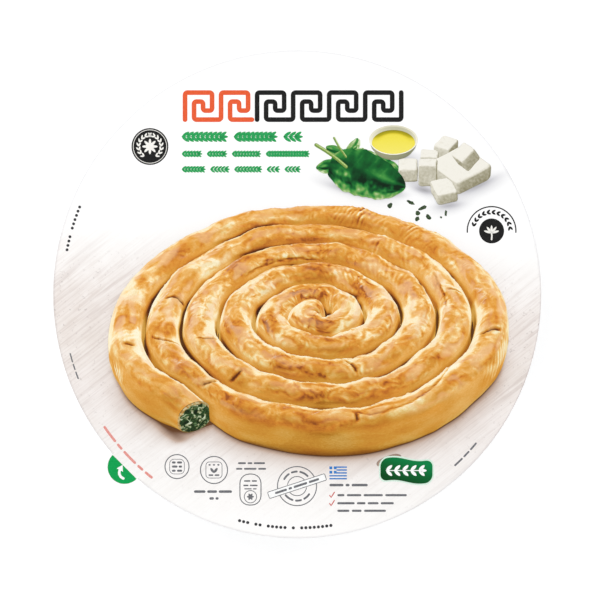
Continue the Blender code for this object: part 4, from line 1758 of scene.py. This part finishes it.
def add_dish():
    """A small white dish of oil: a turned dish, and a disc of oil whose tone deepens under the far rim."""
    dish = turned_dish(filled_in(np.array(DISH_PROFILE), 0.7))
    inside = np.arange(len(dish))[:, None] > len(dish) * DISH_INSIDE
    far = dish[..., 1] / DISH_RADIUS
    within = 0.55 - 0.28 * far - 0.06 * dish[..., 0] / OIL_RADIUS
    light = np.where(inside, within, 0.26 * picture_light(grid_normals(dish), 0.85))
    light = np.where(dish[..., 2] > DISH_RIM, 0.62 - 0.16 * far, light)
    span = nearness([dish])
    bottom = OIL_LEVEL - OIL_DEPTH
    under = ((0.2, bottom), (0.88 * OIL_RADIUS, bottom), (OIL_RADIUS, OIL_LEVEL))
    oil = turned_dish((*under, *((radius, OIL_LEVEL) for radius in np.linspace(OIL_RADIUS - 0.3, 0.2, 24))))
    away = oil[..., 1] / OIL_RADIUS
    reach = np.hypot(oil[..., 0], oil[..., 1]) / OIL_RADIUS
    band = smooth(0.58, 0.88, reach) * smooth(0.0, 0.65, away)
    tone = 0.66 - 0.12 * away - 0.46 * band - 0.08 * smooth(0.86, 1.0, reach)
    make_piece("oil_dish_print", [shell(pressed(dish, DISH_PLACE, span=span), {"light": light})],
               printed_tones("printed_white_dish", "light", DISH_TONES, 2.0, 0.02))
    make_piece("oil_print", [shell(pressed(oil, DISH_PLACE, span=span), {"tone": tone})],
               printed_tones("printed_olive_oil", "tone", OIL_TONES, 1.2, 0.03))


# Flecks of chopped leaf: x, y, length, width and turn in degrees.
FLECKS = (
    (54.2, 51.9, 3.2, 2.7, 60.0),
    (66.1, 53.7, 5.0, 2.0, -24.0),
    (73.5, 50.6, 5.4, 2.1, 22.0),
    (70.3, 47.5, 2.8, 2.6, 0.0),
    (70.1, 44.2, 3.0, 2.5, 80.0),
    (76.7, 44.9, 3.9, 2.4, -50.0),
    (84.0, 44.9, 1.5, 1.4, 0.0),
    (86.8, 47.5, 4.0, 1.3, 86.0),
)


FLECK_POINTS = 11
FLECK_TEARS = 0.22


def add_flecks():
    """Chopped leaf scattered on the board: small torn flecks, whose edges are set by a seeded draw."""
    draw = np.random.default_rng(401)
    flecks = []
    for x, y, length, width, turn in FLECKS:
        tears = 1 + FLECK_TEARS * draw.uniform(-1, 1, (FLECK_POINTS, 1))
        torn = round_outline(0.5, FLECK_POINTS) * tears
        flecks.append(patch(turned(torn * (length, width), math.radians(turn), (x, y)), passes=2))
    make_piece("leaf_fleck_prints", flecks, offset_ink("printed_chopped_leaf", "#2A3A26", "#55694A"))


# The meander band: its cell and stroke, and how many of its six keys are orange.
KEY_CELL = 2.63
KEY_STROKE = 2.75
KEY_ORIGIN = np.array((-65.5, 102.0))
KEY_COUNT = 6
ORANGE_KEYS = 2
KEY_LENGTH = 8
KEY_STEPS = ((0, 0), (0, 6), (6, 6), (6, 2), (4, 2), (4, 4), (2, 4), (2, 0))
# Where the two inks meet, the first stops this many cells short.
KEY_BREAK = 1.15
KEY_BEND = 0.52


def key_line(first, last, close):
    """The corners of a run of keys, in millimetres. A closing stroke goes up at its end."""
    cells = [(KEY_LENGTH * key + x, y) for key in range(first, last) for x, y in KEY_STEPS]
    end = KEY_LENGTH * last
    cells = cells + ([(end, 0), (end, 6)] if close else [(end - KEY_BREAK, 0)])
    return KEY_ORIGIN + KEY_CELL * np.array(cells, float)


def add_key_band(inks):
    """A band of square keys, the common meander, in two inks."""
    for name, ink, line in (
        ("key_band_orange", inks["orange"], key_line(0, ORANGE_KEYS, False)),
        ("key_band_black", inks["black"], key_line(ORANGE_KEYS, KEY_COUNT, True)),
    ):
        path = filled_in(quarter_turns(line, KEY_STROKE * KEY_BEND), 2.5)
        make_piece(name, [ribbon(path, KEY_STROKE, passes=2)], ink)


# Rows of sprigs: the line's height, leaf length and width, the pitch of two pairs, and each sprig's start and
# end from the left.
SPRIG_LEFT = -67.3
SPRIG_ROWS = (
    (92.0, 5.2, 1.9, 4.6, ((0.0, 27.0), (30.4, 56.0), (59.4, 70.7))),
    (82.0, 3.3, 1.25, 3.1, ((0.0, 12.0), (14.6, 26.6), (29.2, 46.4), (49.0, 74.8))),
    (73.0, 3.3, 1.25, 3.1, ((0.0, 14.0), (16.6, 28.0), (30.6, 47.0), (49.6, 57.4), (60.0, 69.5))),
)


def add_sprigs(inks):
    """Three rows of green sprigs of uneven lengths."""
    sprigs = []
    for y, leaf_length, leaf_width, pitch, stretches in SPRIG_ROWS:
        for start, end in stretches:
            pairs = max(2, round((end - start - leaf_length) / pitch * 2))
            sprigs += sprig((SPRIG_LEFT + start, y), (SPRIG_LEFT + end, y), leaf_length, leaf_width, pairs)
    make_piece("sprig_rows_green", sprigs, inks["green"])


# The black disc with a star: the star's radius, points, waves and depth, and two wreaths as start and end in
# degrees.
STAR_PLACE = np.array((-86.0, 86.3))
STAR_RADIUS = 10.75
STAR_SHAPE = (3.4, 80, 8, 0.34)
STAR_WREATHS = ((-60, 82), (240, 98))
STAR_WREATH_RADIUS = 6.6
# The small black disc: its sprig's five leaves and stem, and the leafy arc over it.
ICON_PLACE = np.array((113.5, 37.0))
ICON_RADIUS = 7.3
ICON_LEAVES = (90, 52, 128, 16, 164)
ICON_LEAF_FOOT = (0.0, -1.2)
ICON_STEM = ((0.0, -5.0), (0.15, -3.0), (0.0, -1.0))
ICON_ARC_RADIUS = 14.2
ICON_WREATH_RADIUS = 10.9


def lifted(parts, passes):
    """The parts, raised by so many passes of ink to lie on what is printed under them."""
    for part in parts:
        part.points[:, 2] += passes * INK_PASS
    return parts


def add_black_marks(inks):
    """A black disc with a pale star and wreath, and a small one with a pale sprig under a leafy arc."""
    discs = [patch(round_outline(STAR_RADIUS, 96) + STAR_PLACE, rings=5),
             patch(round_outline(ICON_RADIUS, 72) + ICON_PLACE, rings=4)]
    make_piece("mark_discs_black", discs, inks["black"])
    leaves = [leaf for start, end in STAR_WREATHS
              for leaf in wreath(STAR_PLACE, STAR_WREATH_RADIUS, start, end, 8, 2.5, 1.0)]
    ring = ribbon(arc(STAR_PLACE, STAR_RADIUS - 1.0, 0, 355, 72), 0.35, passes=2, looped=True)
    frond = leaf_outline(4.6, 1.35)
    fronds = [patch(turned(frond, math.radians(angle), ICON_PLACE + ICON_LEAF_FOOT), passes=2)
              for angle in ICON_LEAVES]
    stem = ribbon(np.array(ICON_STEM) + ICON_PLACE, 0.9, passes=2)
    star = patch(round_outline(*STAR_SHAPE) + STAR_PLACE, passes=2)
    make_piece("mark_ornaments_pale", [star, ring, *fronds, stem, *lifted(leaves, 1)], inks["pale"])
    leafy = wreath(ICON_PLACE, ICON_WREATH_RADIUS, 166, 14, 11, 2.7, 1.25)
    line = ribbon(arc(ICON_PLACE, ICON_ARC_RADIUS, -3, 183, 48), 0.75)
    make_piece("icon_arc_black", [line, *leafy], inks["black"])


# Small grey marks in a row, by name.
MARK_PLACES = {
    "left": np.array((-70.2, -100.6)),
    "right": np.array((-48.6, -102.6)),
    "capsule": np.array((-27.3, -114.0)),
    "stamp": np.array((-0.1, -112.0)),
}
# Their rings: mark, height over its place, radius, start and end in degrees, points and width.
MARK_RINGS = (
    ("left", 0.0, 7.0, 0, 354, 60, 0.6),
    ("right", 0.0, 7.9, 0, 354, 60, 0.6),
    ("capsule", -4.2, 3.6, 0, 350, 36, 0.45),
    ("stamp", 0.0, 11.4, 0, 355, 72, 0.6),
)
# Their frames: mark, width, height, corner and line width.
MARK_FRAMES = (
    ("left", 8.6, 8.6, 2.6, 0.35),
    ("right", 9.4, 9.4, 2.0, 0.4),
    ("capsule", 12.3, 18.1, 5.4, 0.6),
)
# Their rows of dashes: mark, half length, height over its place, shares and dash height.
MARK_ROWS = (
    ("left", 3.0, 2.4, (3, 4), 1.25),
    ("left", 3.0, 0.0, (5, 3), 1.25),
    ("left", 3.0, -2.4, (3, 4), 1.25),
    ("right", 3.2, 3.0, (1, 1, 1), 0.95),
    ("right", 3.2, -3.0, (4, 4), 0.95),
    ("capsule", 3.8, 5.0, (5, 4), 0.9),
    ("capsule", 4.2, 2.4, (4, 6), 0.9),
    ("capsule", 3.6, 0.4, (6, 3), 0.7),
)
# The stamp: its inner arcs, its arcs of dashes, and the slanting band across it.
STAMP_ARCS = ((35, 170), (215, 350))
STAMP_DASHES = ((155, 40, (5, 4, 6)), (215, 330, (6, 4, 5)))
STAMP_BAND = (35.0, 3.9, 0.6)
STAMP_BAND_SLOPE = math.radians(18.1)
STAMP_BAND_ROW = 13.5
STAMP_BAND_SHARES = (7, 2, 8, 6)


def add_ring_marks(inks):
    """The row of small grey marks: rings, a capsule and a stamp, each with dashes inside."""
    stamp = MARK_PLACES["stamp"]
    lines = [ribbon(arc(MARK_PLACES[mark] + (0.0, up), radius, start, end, steps), width, looped=True)
             for mark, up, radius, start, end, steps, width in MARK_RINGS]
    lines += [ribbon(box_outline(*sizes) + MARK_PLACES[mark], width, looped=True)
              for mark, *sizes, width in MARK_FRAMES]
    lines += [ribbon(arc(stamp, 5.6, start, end, 24), 0.5) for start, end in STAMP_ARCS]
    make_piece("mark_rings_grey", lines, inks["grey"])

    dashes = []
    for mark, half, up, shares, height in MARK_ROWS:
        place = MARK_PLACES[mark]
        dashes += dash_row(place + (-half, up), place + (half, up), shares, height)
    for start, end, shares in STAMP_DASHES:
        dashes += dash_arc(8.5, start, end, shares, 1.15, stamp)
    leaf_foot = MARK_PLACES["right"] + (0.0, -1.7)
    dashes += [patch(turned(leaf_outline(3.6, 1.6), math.radians(angle), leaf_foot)) for angle in (55, 125)]
    dashes += [patch(round_outline(1.7, 40, 6, 0.25) + MARK_PLACES["capsule"] + (0.0, -4.2))]
    make_piece("mark_dashes_grey", dashes, inks["grey"])

    band = turned(box_outline(*STAMP_BAND), STAMP_BAND_SLOPE, stamp)
    make_piece("stamp_band_pale", [patch(band, passes=2, rings=3)], inks["white"])
    rim = ribbon(band, 0.4, passes=3, looped=True)
    start, end = turned(((-STAMP_BAND_ROW, 0.0), (STAMP_BAND_ROW, 0.0)), STAMP_BAND_SLOPE, stamp)
    row = dash_row(start, end, STAMP_BAND_SHARES, 1.3)
    make_piece("stamp_band_lines", [rim, *lifted(row, 2)], inks["grey"])


# Rows of quiet dashes: start, end, shares and height.
GREY_ROWS = (
    ((-60.3, -115.2), (-38.1, -115.2), (7, 6, 8), 1.5),
    ((-51.3, -119.2), (-45.9, -119.2), (3, 2), 1.5),
    ((-34.6, -98.6), (-18.8, -98.6), (5, 3, 7), 1.1),
    ((-35.7, -101.9), (-18.2, -101.9), (4, 8, 5), 1.1),
    ((18.8, -111.4), (41.2, -111.4), (7, 2, 8), 1.5),
    ((23.4, -117.3), (64.0, -117.3), (3, 6, 8, 9), 1.3),
    ((23.4, -122.0), (56.4, -122.0), (8, 4, 5, 6), 1.3),
    ((23.4, -126.4), (51.8, -126.4), (5, 4, 9), 1.3),
)
# Dashes and beads round the sheet's edge: radius, start and end in degrees, shares or counts, and height.
GREY_ARCS = (
    (135.9, 312.5, 320.4, (7, 5, 6), 1.1),
    (137.0, 201.2, 194.5, (5, 4, 6), 0.8),
)
BLACK_BEADS = (
    (136.9, 169.6, 157.6, (4, 6), 1.75),
    (136.4, 255.2, 278.8, (3, 2, 5, 1, 8), 1.85),
)
PINK_ARC = (136.6, 214.3, 231.8, (8, 3, 7, 3, 4), 1.5)
CHECK_MARKS = ((20.2, -117.4), (20.2, -122.2))
CHECK_LINE = ((-1.3, 0.0), (-0.4, -1.2), (1.5, 1.8))


def add_captions(inks):
    """Quiet rows of dashes, dashes and beads round the edge, and two red check marks."""
    rows = [part for row in GREY_ROWS for part in dash_row(*row)]
    rows += [part for row in GREY_ARCS for part in dash_arc(*row)]
    make_piece("caption_dashes_grey", rows, inks["grey"])
    beads = [part for row in BLACK_BEADS for part in bead_arc(*row)]
    make_piece("edge_beads_black", beads, inks["dark_grey"])
    make_piece("edge_dashes_pink", dash_arc(*PINK_ARC), inks["pink"])
    checks = [ribbon(filled_in(np.array(CHECK_LINE), 0.8) + place, 0.6) for place in CHECK_MARKS]
    make_piece("check_marks_red", checks, inks["red"])


# The flag: its middle, size and stripes. Its corner field is as high as so many stripes and made of four
# squares of two stripes each, which start so many stripes from its left and top.
FLAG_PLACE = np.array((23.9, -104.3))
FLAG_SIZE = np.array((10.2, 7.6))
FLAG_STRIPES = 9
FLAG_CORNER = 5
FLAG_SQUARES = ((0, 0), (3, 0), (0, 3), (3, 3))
# The label: its middle, size and corner, its pale edge's width and corner, and its wave.
LABEL_PLACE = np.array((63.8, -102.9))
LABEL_SIZE = np.array((30.4, 13.2))
LABEL_CORNER = 4.2
LABEL_EDGE = 0.9
LABEL_EDGE_CORNER = 5.0
LABEL_WAVE = 1.1
# How the label's tone rises over its width and its height, and its sprig.
LABEL_RISE = np.array((0.55, 0.75))
LABEL_SPRIG = {"leaf_length": 4.6, "leaf_width": 1.9, "pairs": 5, "lean": 42.0}
LABEL_SPRIG_REACH = np.array((11.8, 0.0))


def rectangle(low, high):
    """A thin straight-edged patch between two corners."""
    (x0, y0), (x1, y1) = low, high
    return patch(np.array(((x0, y0), (x1, y0), (x1, y1), (x0, y1))))


def add_flag(inks):
    """A small striped flag with a plain cross in its corner field."""
    left, top = FLAG_PLACE + FLAG_SIZE * (-0.5, 0.5)
    right = left + FLAG_SIZE[0]
    stripe = FLAG_SIZE[1] / FLAG_STRIPES
    blue = []
    for k in range(0, FLAG_STRIPES, 2):
        start = left + (FLAG_CORNER * stripe if k < FLAG_CORNER else 0.0)
        blue.append(rectangle((start, top - (k + 1) * stripe), (right, top - k * stripe)))
    for x, y in FLAG_SQUARES:
        corner = np.array((left + x * stripe, top - (y + 2) * stripe))
        blue.append(rectangle(corner, corner + 2 * stripe))
    make_piece("flag_print_blue", blue, inks["blue"])


def waved(width, height, corner):
    """A box about the label's place whose y swings by a sine of x, one wave over the label's width."""
    box = box_outline(width, height, corner, 12)
    outline = filled_in(np.vstack((box, box[:1])), 1.0)[:-1]
    swing = LABEL_WAVE * np.sin(outline[:, 0] / LABEL_SIZE[0] * FULL_TURN)
    return outline + np.stack((0 * swing, -swing), -1) + LABEL_PLACE


def add_label(inks):
    """The green label: a pale-edged waved field, deeper at its lower left, with a white sprig."""
    border = patch(waved(*(LABEL_SIZE + 2 * LABEL_EDGE), LABEL_EDGE_CORNER), passes=1, rings=4)
    make_piece("label_edge_pale", [border], inks["mint"])
    field = patch(waved(*LABEL_SIZE, LABEL_CORNER), passes=2, rings=8)
    off = (field.points[:, :2] - LABEL_PLACE) / LABEL_SIZE
    field.fields["tone"] = 0.5 + (off @ LABEL_RISE)[:, None]
    green = printed_tones("printed_deep_green", "tone", LABEL_TONES, INK_GRAIN, 0.04)
    make_piece("label_field_green", [field], green)
    branch = sprig(LABEL_PLACE - LABEL_SPRIG_REACH, LABEL_PLACE + LABEL_SPRIG_REACH, **LABEL_SPRIG)
    make_piece("label_sprig_white", lifted(branch, 2), inks["white"])


# The tab's field stays this far inside its edge. Its arrow: how far out its bend's middle lies, the bend's
# radius and line, and its head and the turn of that.
TAB_INSET = 0.35
ARROW_OUT = 4.4
ARROW_BEND = 3.6
ARROW_LINE = 1.5
ARROW_HEAD = ((-2.1, -0.4), (2.1, -0.4), (0.0, 3.0))
ARROW_TURN = math.radians(-28.0)


def add_tab_print(inks):
    """The tab's green half disc with a white bent arrow that shows the way to peel."""
    centre = SHEET_RADIUS * np.array((math.cos(TAB_BEARING), math.sin(TAB_BEARING)))
    bearing = math.degrees(TAB_BEARING)
    outline = arc(centre, TAB_RADIUS - TAB_INSET, bearing - 90.0, bearing + 90.0, 48)
    make_piece("tab_field_green", [patch(outline, rings=4)], inks["tab_green"])
    middle = centre + ARROW_OUT * unit(centre)
    bend = arc(middle + (ARROW_BEND, -0.2), ARROW_BEND, 250, 150, 16)
    tip = turned(ARROW_HEAD, ARROW_TURN, bend[-1])
    arrow = [ribbon(bend, ARROW_LINE, passes=2), patch(tip, passes=2)]
    make_piece("tab_arrow_white", arrow, inks["white"])


def mix_inks():
    """The print's plain inks."""
    return {
        "orange": offset_ink("orange_ink", "#E4572E", "#EA6A43"),
        "black": offset_ink("black_ink", "#141414", "#262626"),
        "dark_grey": offset_ink("dark_grey_ink", "#333336", "#4A4A4D"),
        "grey": offset_ink("grey_ink", "#626367", "#85868A"),
        "green": offset_ink("leaf_green_ink", "#1F9A50", "#3BAA66"),
        "tab_green": offset_ink("bright_green_ink", "#009A4A", "#12A658"),
        "mint": offset_ink("mint_ink", "#CFE8D8", "#DDF0E4"),
        "pale": offset_ink("bare_sheet_white", "#EFEDE6", "#FAF9F5"),
        "white": offset_ink("opaque_white_ink", "#F7F8F7", "#FFFFFF"),
        "pink": offset_ink("pale_red_ink", "#E08F86", "#EBAAA2"),
        "red": offset_ink("red_ink", "#C54B45", "#D46A64"),
        "blue": offset_ink("blue_ink", "#2F73BE", "#5590CE"),
    }


# ------------------------------------------------------------------ the studio


CAMERA_DISTANCE = 1600.0
PHOTO_WIDTH = 345.1
PHOTO_MIDDLE = (-1.0, -0.7)
SENSOR = 36.0
SKY_STRENGTH = 0.26
WHITE = (1.0, 1.0, 1.0, 1.0)
# Each lamp: bearing and height in degrees, distance and width in millimetres, and watts.
LAMPS = (
    ("key", 128.0, 42.0, 1900.0, 1300.0, 17.4),
    ("right", 38.0, 40.0, 1900.0, 1300.0, 11.3),
    ("front", -52.0, 40.0, 1900.0, 1300.0, 10.4),
    ("left", 218.0, 40.0, 1900.0, 1300.0, 10.4),
)
# The table: half its side, its tone, and its own faint light.
FLOOR_HALF = 3000.0
FLOOR_TONE = "#C9C9C9"
FLOOR_GLOW = 0.60


def add_floor():
    """A plain white table, lit a little by itself so that the pack's shadow stays faint."""
    half = FLOOR_HALF * MM
    mesh = bpy.data.meshes.new("studio_floor")
    corners = [(-half, -half, 0), (half, -half, 0), (half, half, 0), (-half, half, 0)]
    mesh.from_pydata(corners, [], [(0, 1, 2, 3)])
    material, _, shader = start_material("white_table", roughness=0.9, specular=0.0)
    shader.inputs["Base Color"].default_value = linear(FLOOR_TONE)
    shader.inputs["Emission Color"].default_value = WHITE
    shader.inputs["Emission Strength"].default_value = FLOOR_GLOW
    mesh.materials.append(material)
    floor = bpy.data.objects.new("studio_floor", mesh)
    bpy.context.scene.collection.objects.link(floor)


def add_lamp(name, bearing, climb, distance, width, watts):
    """A broad square lamp that faces the pack."""
    lamp = bpy.data.lights.new(name, "AREA")
    lamp.shape = "SQUARE"
    lamp.size = width * MM
    lamp.energy = watts
    holder = bpy.data.objects.new(name, lamp)
    bpy.context.scene.collection.objects.link(holder)
    turn, rise = math.radians(bearing), math.radians(climb)
    holder.location = [distance * MM * part for part in
                       (math.cos(rise) * math.cos(turn), math.cos(rise) * math.sin(turn), math.sin(rise))]
    holder.rotation_euler = (math.pi / 2 - rise, 0.0, turn + math.pi / 2)


def add_studio():
    """The camera straight over the face, as in the photo, the lamps and an even sky."""
    scene = bpy.context.scene
    lens = bpy.data.cameras.new("face_camera")
    lens.sensor_width = SENSOR
    lens.lens = SENSOR * CAMERA_DISTANCE / PHOTO_WIDTH
    camera = bpy.data.objects.new("face_camera", lens)
    camera.location = (PHOTO_MIDDLE[0] * MM, PHOTO_MIDDLE[1] * MM, (SHEET_TOP + CAMERA_DISTANCE) * MM)
    scene.collection.objects.link(camera)
    scene.camera = camera
    for lamp in LAMPS:
        add_lamp(*lamp)
    world = bpy.data.worlds.new("studio_sky")
    world.use_nodes = True
    sky = world.node_tree.nodes["Background"]
    sky.inputs["Color"].default_value = WHITE
    sky.inputs["Strength"].default_value = SKY_STRENGTH
    scene.world = world
    scene.view_settings.view_transform = "Standard"
    add_floor()


def main():
    add_studio()
    inks = mix_inks()
    add_tray()
    board = varnished_sheet_with_board()
    add_sheet(board)
    add_coil_shadow(add_coil(), board)
    add_cheese()
    add_leaves()
    add_dish()
    add_flecks()
    add_key_band(inks)
    add_sprigs(inks)
    add_black_marks(inks)
    add_ring_marks(inks)
    add_captions(inks)
    add_flag(inks)
    add_label(inks)
    add_tab_print(inks)


main()
